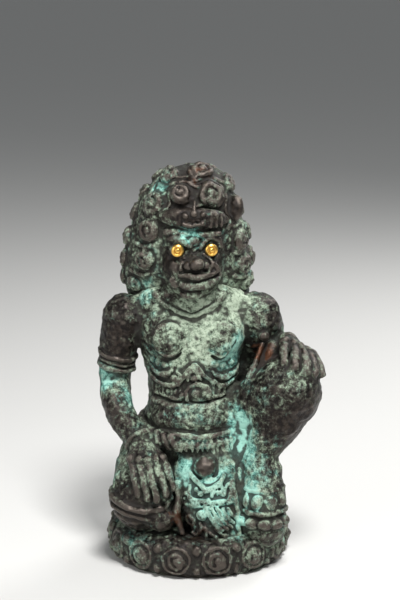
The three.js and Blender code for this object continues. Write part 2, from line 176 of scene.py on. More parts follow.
@dataclass
class Pebble:
    """An egg with three half sizes.

    Attributes:
        centre: Its middle.
        sizes: Its half sizes, or one radius.
        turn: Degrees that it is turned round the upright axis.
        tilt: Degrees that it is tilted to the side, seen from the front.
    """

    centre: Point
    sizes: float | Point
    turn: float = 0.0
    tilt: float = 0.0

    def box(self) -> tuple[np.ndarray, np.ndarray]:
        """The lowest and highest corner that hold the egg."""
        reach = float(np.max(self.sizes)) if self.turn or self.tilt else np.broadcast_to(self.sizes, (3,))
        return np.array(self.centre) - reach, np.array(self.centre) + reach

    def distance(self, x: np.ndarray, y: np.ndarray, z: np.ndarray) -> np.ndarray:
        """How far each place is from the egg's surface."""
        a, b, c = np.broadcast_to(self.sizes, (3,))
        x, y, z = x - self.centre[0], y - self.centre[1], z - self.centre[2]
        if self.turn:
            cos, sin = math.cos(math.radians(self.turn)), math.sin(math.radians(self.turn))
            x, y = x * cos + y * sin, y * cos - x * sin
        if self.tilt:
            cos, sin = math.cos(math.radians(self.tilt)), math.sin(math.radians(self.tilt))
            x, z = x * cos - z * sin, z * cos + x * sin
        reach = np.sqrt((x / a) ** 2 + (y / b) ** 2 + (z / c) ** 2)
        slope = np.sqrt((x / a**2) ** 2 + (y / b**2) ** 2 + (z / c**2) ** 2)
        return reach * (reach - 1) / np.maximum(slope, 1e-3)


@dataclass
class Stack:
    """A body of level oval slices, smooth from one to the next.

    Attributes:
        slices: Rows of height, centre x and y, half width and half depth, from the lowest up.
    """

    slices: Sequence[Point]

    def __post_init__(self) -> None:
        """Works out the fine table of slices once."""
        table = smooth_path(self.slices, 10)
        self.levels = table[:, 0]
        self.columns = table[:, 1:].T
        self.lean = np.gradient(table[:, 3:].mean(1), self.levels)

    def box(self) -> tuple[np.ndarray, np.ndarray]:
        """The lowest and highest corner that hold the stack."""
        cx, cy, a, b = self.columns
        low = np.array([(cx - a).min(), (cy - b).min(), self.levels[0]])
        return low, np.array([(cx + a).max(), (cy + b).max(), self.levels[-1]])

    def distance(self, x: np.ndarray, y: np.ndarray, z: np.ndarray) -> np.ndarray:
        """How far each place is from the stack's surface."""
        cx, cy, a, b = (np.interp(z, self.levels, column).astype(np.float32) for column in self.columns)
        u, v = (x - cx) / a, (y - cy) / b
        reach = np.sqrt(u * u + v * v)
        slope = np.sqrt((u / a) ** 2 + (v / b) ** 2)
        lean = np.sqrt(1 + np.interp(z, self.levels, self.lean) ** 2).astype(np.float32)
        side = reach * (reach - 1) / np.maximum(slope, 1e-3) / lean
        return np.maximum(side, np.maximum(self.levels[0] - z, z - self.levels[-1]))

    def front(self, x: float, z: float, lift: float = 0.0) -> tuple[float, float, float]:
        """The place on the stack's front at x and z, lifted off it towards the viewer."""
        cx, cy, a, b = (np.interp(z, self.levels, column) for column in self.columns)
        across = min(abs(x - cx) / a, 0.98)
        return (x, cy - b * math.sqrt(1 - across**2) - lift, z)

    def around(self, z: float, bearing: float, lift: float = 0.0) -> tuple[np.ndarray, np.ndarray]:
        """The place and outward direction at a height and a bearing.

        Args:
            z: The height.
            bearing: Degrees from the front towards +X.
            lift: How far off the surface.

        Returns:
            The place and the direction.
        """

        def spot(height: float, turn: float) -> np.ndarray:
            cx, cy, a, b = (np.interp(height, self.levels, column) for column in self.columns)
            return np.array([cx + a * math.sin(turn), cy - b * math.cos(turn), height])

        turn = math.radians(bearing)
        along = spot(z, turn + 0.03) - spot(z, turn - 0.03)
        up = spot(z + 0.5, turn) - spot(z - 0.5, turn)
        out = np.cross(along, up)
        out = out / np.linalg.norm(out)
        return spot(z, turn) + out * lift, out


@dataclass
class Drum:
    """An upright round drum with soft edges.

    Attributes:
        radius: Its radius.
        low: Its lowest level.
        high: Its highest level.
        edge: The radius of its edges.
    """

    radius: float
    low: float
    high: float
    edge: float

    def box(self) -> tuple[np.ndarray, np.ndarray]:
        """The lowest and highest corner that hold the drum."""
        return np.array([-self.radius, -self.radius, self.low]), np.array([self.radius, self.radius, self.high])

    def distance(self, x: np.ndarray, y: np.ndarray, z: np.ndarray) -> np.ndarray:
        """How far each place is from the drum's surface."""
        middle, half = (self.low + self.high) / 2, (self.high - self.low) / 2
        across = np.sqrt(x * x + y * y) - (self.radius - self.edge)
        up = np.abs(z - middle) - (half - self.edge)
        outside = np.sqrt(np.maximum(across, 0) ** 2 + np.maximum(up, 0) ** 2)
        return outside + np.minimum(np.maximum(across, up), 0) - self.edge


def oval(centre: Point, half_width: float, half_height: float, count: int = 10) -> list[Point]:
    """Points of an upright oval that faces the viewer."""
    turns = [2 * math.pi * i / count for i in range(count)]
    return [
        (centre[0] + half_width * math.cos(t), centre[1], centre[2] + half_height * math.sin(t)) for t in turns
    ]


def ring(centre: Point, axis: Point, radius: float, thickness: float) -> Rod:
    """A ring of rod round an axis."""
    out = Vector(axis).normalized()
    side = out.orthogonal().normalized()
    other = out.cross(side)
    turns = [2 * math.pi * i / 12 for i in range(12)]
    points = [Vector(centre) + radius * (math.cos(t) * side + math.sin(t) * other) for t in turns]
    return Rod(points, thickness, closed=True, per_span=3)


# ---- Clay ----


def melt(a: np.ndarray, b: np.ndarray, blend: float) -> np.ndarray:
    """The nearer of two distances, with a soft fillet between them as wide as blend."""
    overlap = np.maximum(blend - np.abs(a - b), 0) / blend
    return np.minimum(a, b) - overlap * overlap * blend / 4


def grain(shape: Sequence[int], step: float, size: float, seed: int) -> np.ndarray:
    """Smooth random values on a lattice.

    Args:
        shape: The lattice's size.
        step: The lattice's spacing.
        size: The width of one lump.
        seed: Which random values.

    Returns:
        Values from about -1 to 1.
    """
    coarse = [max(3, int(n * step / size) + 3) for n in shape]
    values = np.random.default_rng(seed).uniform(-1, 1, coarse).astype(np.float32)
    for axis, count in enumerate(shape):
        place = np.arange(count) * step / size
        low = place.astype(int)
        share = (place - low).astype(np.float32)
        share = share * share * (3 - 2 * share)
        share = share.reshape([-1 if k == axis else 1 for k in range(3)])
        values = np.take(values, low, axis) * (1 - share) + np.take(values, low + 1, axis) * share
    return values


def wander(places: np.ndarray, size: float, seed: int) -> np.ndarray:
    """Smooth random steps at places in space.

    Args:
        places: The places in millimetres.
        size: The width of one lump.
        seed: Which random values.

    Returns:
        A step for each place, from about -1 to 1 each way.
    """
    count = 64
    table = np.random.default_rng(seed).uniform(-1, 1, (count, count, count, 3)).astype(np.float32)
    spot = places / size + 500
    low = np.floor(spot).astype(int)
    share = spot - low
    share = share * share * (3 - 2 * share)
    total = np.zeros(places.shape)
    for corner in np.ndindex(2, 2, 2):
        weight = np.prod(np.where(corner, share, 1 - share), axis=1)
        total += weight[:, None] * table[tuple(((low + corner) % count).T)]
    return total


def blurred(values: np.ndarray, reach: int) -> np.ndarray:
    """Values averaged over a box that reaches so many places each way, twice."""
    for _ in range(2):
        for axis in range(3):
            padded = np.pad(values, [(reach + 1, reach) if k == axis else (0, 0) for k in range(3)], "edge")
            total = np.cumsum(padded, axis, dtype=np.float64)
            size = values.shape[axis]
            high = np.take(total, np.arange(2 * reach + 1, 2 * reach + 1 + size), axis)
            low = np.take(total, np.arange(size), axis)
            values = ((high - low) / (2 * reach + 1)).astype(np.float32)
    return values


class Clay:
    """A block of clay as distances on a lattice."""

    def __init__(self, low: Point, high: Point, step: float) -> None:
        """Starts with an empty block.

        Args:
            low: The block's lowest corner in millimetres.
            high: Its highest corner.
            step: The lattice's spacing.
        """
        self.low = np.array(low, dtype=float)
        self.step = step
        self.shape = tuple(int(n) for n in np.ceil((np.array(high) - self.low) / step) + 1)
        self.field = np.full(self.shape, FAR, dtype=np.float32)

    def window(self, low: np.ndarray, high: np.ndarray) -> tuple[Lattice, list[np.ndarray]]:
        """The lattice's slices between two corners, and the coordinates there."""
        first = np.clip(np.floor((low - self.low) / self.step).astype(int), 0, np.array(self.shape) - 1)
        last = np.clip(np.ceil((high - self.low) / self.step).astype(int) + 1, 1, self.shape)
        axes = [
            (self.low[k] + self.step * np.arange(first[k], last[k])).astype(np.float32) for k in range(3)
        ]
        return tuple(slice(a, b) for a, b in zip(first, last)), list(np.ix_(*axes))

    def _change(self, form: Form, blend: float, join: Callable[[np.ndarray, np.ndarray], np.ndarray]) -> None:
        """Changes the clay where a form lies."""
        low, high = form.box()
        room = blend + 2 * self.step
        where, axes = self.window(np.array(low) - room, np.array(high) + room)
        if min(s.stop - s.start for s in where) > 0:
            self.field[where] = join(self.field[where], form.distance(*axes).astype(np.float32))

    def add(self, forms: Form | Iterable[Form], blend: float = 1.0) -> None:
        """Melts forms onto the clay with fillets as wide as blend."""
        for form in forms if isinstance(forms, (list, tuple)) else [forms]:
            self._change(form, blend, lambda old, new: melt(old, new, blend))

    def cut(self, forms: Form | Iterable[Form], blend: float = 0.5) -> None:
        """Presses forms into the clay."""
        for form in forms if isinstance(forms, (list, tuple)) else [forms]:
            self._change(form, blend, lambda old, new: -melt(-old, new, blend))

    def add_mesh(self, mesh: bpy.types.Mesh, blend: float = 0.5) -> None:
        """Melts a closed mesh, in metres, onto the clay."""
        mesh.calc_loop_triangles()
        places = np.empty(len(mesh.vertices) * 3, dtype=np.float32)
        mesh.vertices.foreach_get("co", places)
        corners = np.empty(len(mesh.loop_triangles) * 3, dtype=np.int32)
        mesh.loop_triangles.foreach_get("vertices", corners)
        places = (places.reshape(-1, 3) / MM - self.low).astype(np.float32)
        scale = openvdb.createLinearTransform(voxelSize=self.step)
        grid = openvdb.FloatGrid.createLevelSetFromPolygons(
            places, triangles=corners.reshape(-1, 3).astype(np.uint32), transform=scale, halfWidth=4.0
        )
        first = np.clip(np.floor(places.min(0) / self.step).astype(int) - 4, 0, None)
        last = np.minimum(np.ceil(places.max(0) / self.step).astype(int) + 5, self.shape)
        room = np.full(tuple(last - first), FAR, dtype=np.float32)
        grid.copyToArray(room, ijk=tuple(int(n) for n in first))
        where = tuple(slice(a, b) for a, b in zip(first, last))
        self.field[where] = melt(self.field[where], room, blend)

    def corrode(self, lumps: Sequence[tuple[float, float]], seed: int) -> None:
        """Roughens the surface with lumps, each a width and a height in millimetres."""
        for i, (size, height) in enumerate(lumps):
            self.field += height * grain(self.shape, self.step, size, seed + i)

    def sample(self, values: np.ndarray, places: np.ndarray) -> np.ndarray:
        """Values of the lattice at places in millimetres."""
        spot = np.clip((places - self.low) / self.step, 0, np.array(self.shape) - 1.001)
        low = spot.astype(int)
        share = spot - low
        total = np.zeros(len(places))
        for corner in np.ndindex(2, 2, 2):
            weight = np.prod(np.where(corner, share, 1 - share), axis=1)
            total += weight * values[tuple((low + corner).T)]
        return total

    def skin(self, name: str, limit: int, low: float = -FAR, high: float = 1e3) -> bpy.types.Object:
        """The clay's surface between two levels as an object in metres.

        Args:
            name: The object's name.
            limit: The most triangles it may have.
            low: The level under which the clay is cut off.
            high: The level over which it is cut off.

        Returns:
            The object, with a closed mesh.
        """
        levels = self.low[2] + self.step * np.arange(self.shape[2])
        cut = np.maximum(self.field, np.maximum(low - levels, levels - high).astype(np.float32))
        rim = np.pad(cut[1:-1, 1:-1, 1:-1], 1, constant_values=1.0)
        grid = openvdb.FloatGrid()
        grid.background = 3.0
        grid.copyFromArray(np.clip(rim, -3.0, 3.0))
        points, _, quads = grid.convertToPolygons(isovalue=0.0, adaptivity=0.0)
        mesh = bpy.data.meshes.new(name)
        mesh.from_pydata(((points * self.step + self.low) * MM).tolist(), [], quads.tolist())
        mesh.validate()
        made = bpy.data.objects.new(name, mesh)
        bpy.context.scene.collection.objects.link(made)
        keep_shells(made)
        count = 2 * len(made.data.polygons)
        if count > limit:
            thin = made.modifiers.new("thin", "DECIMATE")
            thin.ratio = limit / count
            made.data = finished_mesh(made)
            made.modifiers.clear()
        made.data.shade_smooth()
        log.info("%s: %d faces before thinning, %d after", name, count, len(made.data.polygons))
        return made


def keep_shells(made: bpy.types.Object) -> None:
    """Keeps only the largest shell of an object's mesh, so that no loose crumb is left."""
    mesh = made.data
    edges = np.empty(len(mesh.edges) * 2, dtype=np.int32)
    mesh.edges.foreach_get("vertices", edges)
    a, b = edges.reshape(-1, 2).T
    label = np.arange(len(mesh.vertices))
    while True:
        low = np.minimum(label[a], label[b])
        new = label.copy()
        np.minimum.at(new, a, low)
        np.minimum.at(new, b, low)
        new = new[new]
        if (new == label).all():
            break
        label = new
    names, counts = np.unique(label, return_counts=True)
    if len(names) == 1:
        return
    main = label == names[counts.argmax()]
    corners = np.empty(len(mesh.loops), dtype=np.int32)
    mesh.loops.foreach_get("vertex_index", corners)
    quads = corners.reshape(-1, 4)
    quads = quads[main[quads[:, 0]]]
    places = np.empty(len(mesh.vertices) * 3)
    mesh.vertices.foreach_get("co", places)
    renumbered = np.cumsum(main) - 1
    kept = bpy.data.meshes.new(mesh.name)
    kept.from_pydata(places.reshape(-1, 3)[main].tolist(), [], renumbered[quads].tolist())
    made.data = kept
    log.info("%s: %d loose crumbs dropped", made.name, len(names) - 1)


def finished_mesh(made: bpy.types.Object) -> bpy.types.Mesh:
    """The object's mesh with its modifiers applied."""
    graph = bpy.context.evaluated_depsgraph_get()
    return bpy.data.meshes.new_from_object(made.evaluated_get(graph), depsgraph=graph)


# ---- Node trees ----


def put(tree: bpy.types.NodeTree, kind: str, inputs: dict[Any, Any] | None = None, **settings: Any) -> Any:
    """Adds a node to a tree.

    Args:
        tree: The tree.
        kind: The node's type.
        inputs: For an input's name or number, a socket to link or a value to set.
        settings: The node's other settings.

    Returns:
        The node.
    """
    node = tree.nodes.new(kind)
    for name, value in settings.items():
        setattr(node, name, value)
    for name, value in (inputs or {}).items():
        socket = node.inputs[name]
        if isinstance(value, bpy.types.NodeSocket):
            tree.links.new(value, socket)
        else:
            socket.default_value = value
    return node


def new_geometry_tree(name: str, numbers: dict[str, float | int]) -> tuple[bpy.types.NodeTree, Any]:
    """A geometry node tree with a geometry input and named numbers.

    Args:
        name: The tree's name.
        numbers: The name and default value of each number.

    Returns:
        The tree and its input node.
    """
    tree = bpy.data.node_groups.new(name, "GeometryNodeTree")
    tree.interface.new_socket("Geometry", in_out="INPUT", socket_type="NodeSocketGeometry")
    tree.interface.new_socket("Geometry", in_out="OUTPUT", socket_type="NodeSocketGeometry")
    for label, value in numbers.items():
        kind = "NodeSocketInt" if isinstance(value, int) else "NodeSocketFloat"
        tree.interface.new_socket(label, in_out="INPUT", socket_type=kind).default_value = value
    return tree, put(tree, "NodeGroupInput")


def end_geometry_tree(tree: bpy.types.NodeTree, instances: Any, material: bpy.types.Material) -> None:
    """Realizes a tree's instances, gives them a material and ends it."""
    real = put(tree, "GeometryNodeRealizeInstances", {"Geometry": instances})
    dressed = put(tree, "GeometryNodeSetMaterial", {"Geometry": real.outputs[0], "Material": material})
    put(tree, "NodeGroupOutput", {"Geometry": dressed.outputs[0]})


def grown_mesh(
    tree: bpy.types.NodeTree,
    places: np.ndarray,
    numbers: dict[str, float | int],
    facing: np.ndarray | None = None,
    sizes: np.ndarray | None = None,
    chained: bool = False,
) -> bpy.types.Mesh:
    """The mesh that a geometry node tree makes.

    Args:
        tree: The tree.
        places: The points it starts from, in metres.
        numbers: The values of its named numbers.
        facing: The direction in which each point faces.
        sizes: The size of what stands at each point.
        chained: Whether edges join each point to the next.

    Returns:
        A plain mesh.
    """
    mesh = bpy.data.meshes.new(tree.name)
    edges = [(i, i + 1) for i in range(len(places) - 1)] if chained else []
    mesh.from_pydata(np.array(places).tolist(), edges, [])
    if facing is not None:
        mesh.attributes.new("facing", "FLOAT_VECTOR", "POINT").data.foreach_set("vector", np.ravel(facing))
    if sizes is not None:
        mesh.attributes.new("size", "FLOAT", "POINT").data.foreach_set("value", np.ravel(sizes))
    made = bpy.data.objects.new(tree.name, mesh)
    bpy.context.scene.collection.objects.link(made)
    grower = made.modifiers.new("grow", "NODES")
    grower.node_group = tree
    for item in tree.interface.items_tree:
        if item.in_out == "INPUT" and item.name in numbers:
            grower[item.identifier] = numbers[item.name]
    result = finished_mesh(made)
    made.modifiers.clear()
    bpy.data.objects.remove(made)
    return result


def curl_tree(material: bpy.types.Material) -> bpy.types.NodeTree:
    """A tree that sets a snail curl, a coiled rod round a low dome, on each point, facing outwards."""
    tree, given = new_geometry_tree("curls", {"Turns": 1.55, "Rod": 0.22, "Dome": 0.36, "Seed": 4})
    spiral = put(
        tree,
        "GeometryNodeCurveSpiral",
        {"Resolution": 20, "Rotations": given.outputs["Turns"], "Start Radius": 0.78, "End Radius": 0.42, "Height": 0.3},
    )
    section = put(tree, "GeometryNodeCurvePrimitiveCircle", {"Resolution": 10, "Radius": given.outputs["Rod"]})
    rod = put(
        tree,
        "GeometryNodeCurveToMesh",
        {"Curve": spiral.outputs[0], "Profile Curve": section.outputs[0], "Fill Caps": True},
    )
    ball = put(tree, "GeometryNodeMeshUVSphere", {"Segments": 16, "Rings": 10, "Radius": given.outputs["Dome"]})
    dome = put(tree, "GeometryNodeTransform", {"Geometry": ball.outputs[0], "Translation": (0, 0, 0.2), "Scale": (1, 1, 0.9)})
    floor = put(tree, "GeometryNodeMeshUVSphere", {"Segments": 20, "Rings": 10, "Radius": 0.9})
    bed = put(tree, "GeometryNodeTransform", {"Geometry": floor.outputs[0], "Translation": (0, 0, -0.24), "Scale": (1, 1, 0.5)})
    curl = put(tree, "GeometryNodeJoinGeometry")
    for part in (rod, dome, bed):
        tree.links.new(part.outputs[0], curl.inputs[0])
    facing = put(tree, "GeometryNodeInputNamedAttribute", {"Name": "facing"}, data_type="FLOAT_VECTOR")
    size = put(tree, "GeometryNodeInputNamedAttribute", {"Name": "size"}, data_type="FLOAT")
    stand = put(tree, "FunctionNodeAlignRotationToVector", {"Vector": facing.outputs[0]}, axis="Z")
    chance = put(
        tree,
        "FunctionNodeRandomValue",
        {"Min": 0.0, "Max": 2 * math.pi, "Seed": given.outputs["Seed"]},
        data_type="FLOAT",
    )
    chance = put(tree, "ShaderNodeCombineXYZ", {"Z": chance.outputs[1]})
    turned = put(
        tree,
        "FunctionNodeRotateRotation",
        {"Rotation": stand.outputs[0], "Rotate By": chance.outputs[0]},
        rotation_space="LOCAL",
    )
    each = put(
        tree,
        "GeometryNodeInstanceOnPoints",
        {
            "Points": given.outputs["Geometry"],
            "Instance": curl.outputs[0],
            "Rotation": turned.outputs[0],
            "Scale": size.outputs[0],
        },
    )
    end_geometry_tree(tree, each.outputs[0], material)
    return tree


def rosette_tree(material: bpy.types.Material) -> bpy.types.NodeTree:
    """A tree that sets a roundel on each point: a thin rim round a coiled boss with a knob."""
    tree, given = new_geometry_tree("roundels", {"Rim": 0.1, "Coil": 0.17, "Turns": 1.25})
    line = put(tree, "GeometryNodeCurvePrimitiveCircle", {"Resolution": 30, "Radius": 0.92})
    section = put(tree, "GeometryNodeCurvePrimitiveCircle", {"Resolution": 8, "Radius": given.outputs["Rim"]})
    rim = put(tree, "GeometryNodeCurveToMesh", {"Curve": line.outputs[0], "Profile Curve": section.outputs[0]})
    coil = put(
        tree,
        "GeometryNodeCurveSpiral",
        {"Resolution": 20, "Rotations": given.outputs["Turns"], "Start Radius": 0.56, "End Radius": 0.36, "Height": 0.12},
    )
    section = put(tree, "GeometryNodeCurvePrimitiveCircle", {"Resolution": 8, "Radius": given.outputs["Coil"]})
    rod = put(
        tree,
        "GeometryNodeCurveToMesh",
        {"Curve": coil.outputs[0], "Profile Curve": section.outputs[0], "Fill Caps": True},
    )
    ball = put(tree, "GeometryNodeMeshUVSphere", {"Segments": 14, "Rings": 8, "Radius": 0.25})
    knob = put(tree, "GeometryNodeTransform", {"Geometry": ball.outputs[0], "Translation": (0.05, 0, 0.16)})
    floor = put(tree, "GeometryNodeMeshUVSphere", {"Segments": 24, "Rings": 12, "Radius": 0.74})
    bed = put(tree, "GeometryNodeTransform", {"Geometry": floor.outputs[0], "Translation": (0, 0, -0.12), "Scale": (1, 1, 0.4)})
    back = put(tree, "GeometryNodeMeshUVSphere", {"Segments": 24, "Rings": 12, "Radius": 0.95})
    backing = put(tree, "GeometryNodeTransform", {"Geometry": back.outputs[0], "Translation": (0, 0, -0.34), "Scale": (1, 1, 0.34)})
    roundel = put(tree, "GeometryNodeJoinGeometry")
    for part in (rim, rod, knob, bed, backing):
        tree.links.new(part.outputs[0], roundel.inputs[0])
    facing = put(tree, "GeometryNodeInputNamedAttribute", {"Name": "facing"}, data_type="FLOAT_VECTOR")
    size = put(tree, "GeometryNodeInputNamedAttribute", {"Name": "size"}, data_type="FLOAT")
    stand = put(tree, "FunctionNodeAlignRotationToVector", {"Vector": facing.outputs[0]}, axis="Z")
    each = put(
        tree,
        "GeometryNodeInstanceOnPoints",
        {
            "Points": given.outputs["Geometry"],
            "Instance": roundel.outputs[0],
            "Rotation": stand.outputs[0],
            "Scale": size.outputs[0],
        },
    )
    end_geometry_tree(tree, each.outputs[0], material)
    return tree


def rib_tree(material: bpy.types.Material) -> bpy.types.NodeTree:
    """A tree that sets upright ribs at equal steps along a line."""
    tree, given = new_geometry_tree("ribs", {"Count": 10, "Half width": 0.0006, "Half height": 0.002})
    line = put(tree, "GeometryNodeMeshToCurve", {"Mesh": given.outputs["Geometry"]})
    steps = put(tree, "GeometryNodeResampleCurve", {"Curve": line.outputs[0], "Count": given.outputs["Count"]})
    ball = put(tree, "GeometryNodeMeshUVSphere", {"Segments": 12, "Rings": 8, "Radius": 1.0})
    size = put(
        tree,
        "ShaderNodeCombineXYZ",
        {"X": given.outputs["Half width"], "Y": given.outputs["Half width"], "Z": given.outputs["Half height"]},
    )
    tangent = put(tree, "GeometryNodeInputTangent")
    along = put(tree, "FunctionNodeAlignRotationToVector", {"Vector": tangent.outputs[0]}, axis="X")
    each = put(
        tree,
        "GeometryNodeInstanceOnPoints",
        {
            "Points": steps.outputs[0],
            "Instance": ball.outputs[0],
            "Rotation": along.outputs[0],
            "Scale": size.outputs[0],
        },
    )
    end_geometry_tree(tree, each.outputs[0], material)
    return tree


# ---- Finishes ----


def linear(code: str) -> tuple[float, float, float, float]:
    """A hex colour as linear values with full alpha."""
    channels = [int(code[i : i + 2], 16) / 255 for i in (1, 3, 5)]
    return (*(c / 12.92 if c <= 0.04045 else ((c + 0.055) / 1.055) ** 2.4 for c in channels), 1.0)


@dataclass(frozen=True)
class BuriedBronze:
    """Tin bronze after centuries in the ground: a dark brown skin, rubbed on the ridges, under a thin grey-green
    crust of copper salts, turquoise where it is thick, with earth in the cracks. Raised edges are painted lighter as a
    highlight, and crevices and deep hollows painted darker as shade. The skin gives broad dull highlights, and the
    crust none.

    Attributes:
        skin: The dark skin.
        brown: Its browner clouds.
        rubbed_and_highlit: The ridges rubbed by hands, made lighter still as a painted highlight.
        olive: The thin crust.
        sage: The full crust.
        pale: Its powdery bloom, also painted on the crust's raised edges as a highlight.
        turquoise: The thick crust, and its deeper tone.
        earth_and_shade_colour: The earth in the cracks, also used as painted shade in crevices and deep hollows.
        rust: Red-brown stains.
        cloud_mm: The width of the crust's clouds.
        speck_mm: The width of its specks.
        grain_mm: The width of its grains, drawn coarser than they are so that they show.
    """

    skin: str = "#1d1918"
    brown: str = "#38302a"
    rubbed_and_highlit: str = "#6f665e"
    olive: str = "#4a4e40"
    sage: str = "#768672"
    pale: str = "#b2c0aa"
    turquoise: tuple[str, str] = ("#4f8b80", "#9ccfc0")
    earth_and_shade_colour: str = "#1b1611"
    rust: str = "#4b2b17"
    cloud_mm: float = 5.5
    speck_mm: float = 1.3
    grain_mm: float = 0.5

    def material(self) -> bpy.types.Material:
        """The bronze as a Blender material, which reads the attributes patina, blue, rust, ridge and hollow."""
        made = bpy.data.materials.new("buried bronze")
        made.use_nodes = True
        tree = made.node_tree
        tree.nodes.clear()
        place = put(tree, "ShaderNodeTexCoord").outputs["Object"]

        def attribute(name: str) -> Any:
            return put(tree, "ShaderNodeAttribute", attribute_name=name).outputs["Fac"]

        def noise(size_mm: float, detail: float, roughness: float = 0.6) -> Any:
            inputs = {"Vector": place, "Scale": 1 / (size_mm * MM), "Detail": detail, "Roughness": roughness}
            return put(tree, "ShaderNodeTexNoise", inputs).outputs[0]

        def math_of(kind: str, a: Any, b: Any = 0.0, c: Any = 0.0) -> Any:
            return put(tree, "ShaderNodeMath", {0: a, 1: b, 2: c}, operation=kind).outputs[0]

        def ramp(value: Any, low: float, high: float) -> Any:
            inputs = {"Value": value, "From Min": low, "From Max": high}
            return put(tree, "ShaderNodeMapRange", inputs, interpolation_type="SMOOTHSTEP").outputs[0]

        def mix(share: Any, a: Any, b: Any) -> Any:
            return put(tree, "ShaderNodeMix", {0: share, 6: a, 7: b}, data_type="RGBA").outputs[2]

        ridge, hollow = attribute("ridge"), attribute("hollow")
        cloud, speck, fine = noise(self.cloud_mm, 6), noise(self.speck_mm, 5), noise(self.grain_mm, 4, 0.75)

        # The crust lies where the place, the hollows and chance add up
        crust = math_of("MULTIPLY_ADD", cloud, 1.8, -0.9)
        crust = math_of("MULTIPLY_ADD", speck, 2.4, math_of("SUBTRACT", crust, 1.2))
        crust = math_of("MULTIPLY_ADD", fine, 1.8, math_of("SUBTRACT", crust, 0.9))
        crust = math_of("ADD", crust, attribute("patina"))
        crust = math_of("MULTIPLY_ADD", hollow, 0.3, crust)
        cover = ramp(crust, -0.3, 0.5)

        metal = mix(ramp(speck, 0.4, 0.65), linear(self.skin), linear(self.brown))
        # Painted highlight, partly real rubbing: raised edges of the bare skin are lightened towards the rubbed colour.
        metal = mix(math_of("MULTIPLY", ramp(ridge, 0.3, 1.4), 0.5), metal, linear(self.rubbed_and_highlit))
        green = mix(ramp(crust, 0.0, 0.45), linear(self.olive), linear(self.sage))
        green = mix(ramp(crust, 0.35, 1.0), green, linear(self.pale))
        deep, light = (linear(c) for c in self.turquoise)
        blue = mix(ramp(crust, 0.2, 0.9), deep, light)
        tint = math_of("MULTIPLY_ADD", noise(3.4, 4), 1.6, math_of("SUBTRACT", attribute("blue"), 0.8))
        green = mix(ramp(tint, 0.0, 0.5), green, blue)
        # Painted highlight: the crust's raised edges are lightened towards the pale colour.
        green = mix(math_of("MULTIPLY", ramp(ridge, 0.3, 1.2), 0.35), green, linear(self.pale))
        colour = mix(cover, metal, green)
        stain = math_of("MULTIPLY_ADD", noise(2.3, 4), 1.8, math_of("SUBTRACT", attribute("rust"), 1.25))
        colour = mix(math_of("MULTIPLY", ramp(stain, 0.0, 0.4), 0.85), colour, linear(self.rust))
        # Painted shade, with some real earth: crevices, fine specks and deep hollows are darkened towards the
        # earth-and-shade colour.
        crevice_depth = math_of("MULTIPLY_ADD", ridge, -1.0, math_of("MULTIPLY_ADD", fine, 1.2, -0.6))
        crevice_depth = math_of("MULTIPLY_ADD", ramp(hollow, 0.45, 1.0), 0.7, crevice_depth)
        earth_and_shade_mask = math_of("MULTIPLY", ramp(crevice_depth, 0.1, 0.9), 0.9)
        colour = mix(earth_and_shade_mask, colour, linear(self.earth_and_shade_colour))

        height = math_of("MULTIPLY_ADD", cover, 0.5, math_of("MULTIPLY_ADD", speck, 0.8, fine))
        bump = put(tree, "ShaderNodeBump", {"Height": height, "Strength": 0.5, "Distance": 0.3 * MM})
        bare = math_of("MULTIPLY", math_of("SUBTRACT", 1.0, cover), math_of("SUBTRACT", 1.0, earth_and_shade_mask))
        rough = math_of("MULTIPLY_ADD", bare, -0.5, math_of("MULTIPLY_ADD", speck, 0.2, 0.76))
        shader = put(
            tree,
            "ShaderNodeBsdfPrincipled",
            {
                "Base Color": colour,
                "Metallic": math_of("MULTIPLY", bare, 0.75),
                "Roughness": rough,
                "Normal": bump.outputs[0],
            },
        )
        put(tree, "ShaderNodeOutputMaterial", {"Surface": shader.outputs[0]})
        return made


@dataclass(frozen=True)
class InlaidGold:
    """Beaten gold sheet, burnished: a warm yellow metal with soft bright highlights.

    Attributes:
        colour: The gold.
        roughness: How far it is from a mirror.
    """

    colour: str = "#f0bf62"
    roughness: float = 0.3

    def material(self) -> bpy.types.Material:
        """The gold as a Blender material."""
        made = bpy.data.materials.new("inlaid gold")
        made.use_nodes = True
        tree = made.node_tree
        tree.nodes.clear()
        shader = put(
            tree,
            "ShaderNodeBsdfPrincipled",
            {"Base Color": linear(self.colour), "Metallic": 1.0, "Roughness": self.roughness},
        )
        put(tree, "ShaderNodeOutputMaterial", {"Surface": shader.outputs[0]})
        return made


@dataclass(frozen=True)
class PaperFloor:
    """A sweep of matt paper, pale and even.

    Attributes:
        colour: The paper.
    """

    colour: str = "#d9d8d5"

    def material(self) -> bpy.types.Material:
        """The paper as a Blender material."""
        made = bpy.data.materials.new("matt paper")
        made.use_nodes = True
        tree = made.node_tree
        tree.nodes.clear()
        shader = put(tree, "ShaderNodeBsdfPrincipled", {"Base Color": linear(self.colour), "Roughness": 0.9})
        put(tree, "ShaderNodeOutputMaterial", {"Surface": shader.outputs[0]})
        return made


# ---- The figure's forms ----

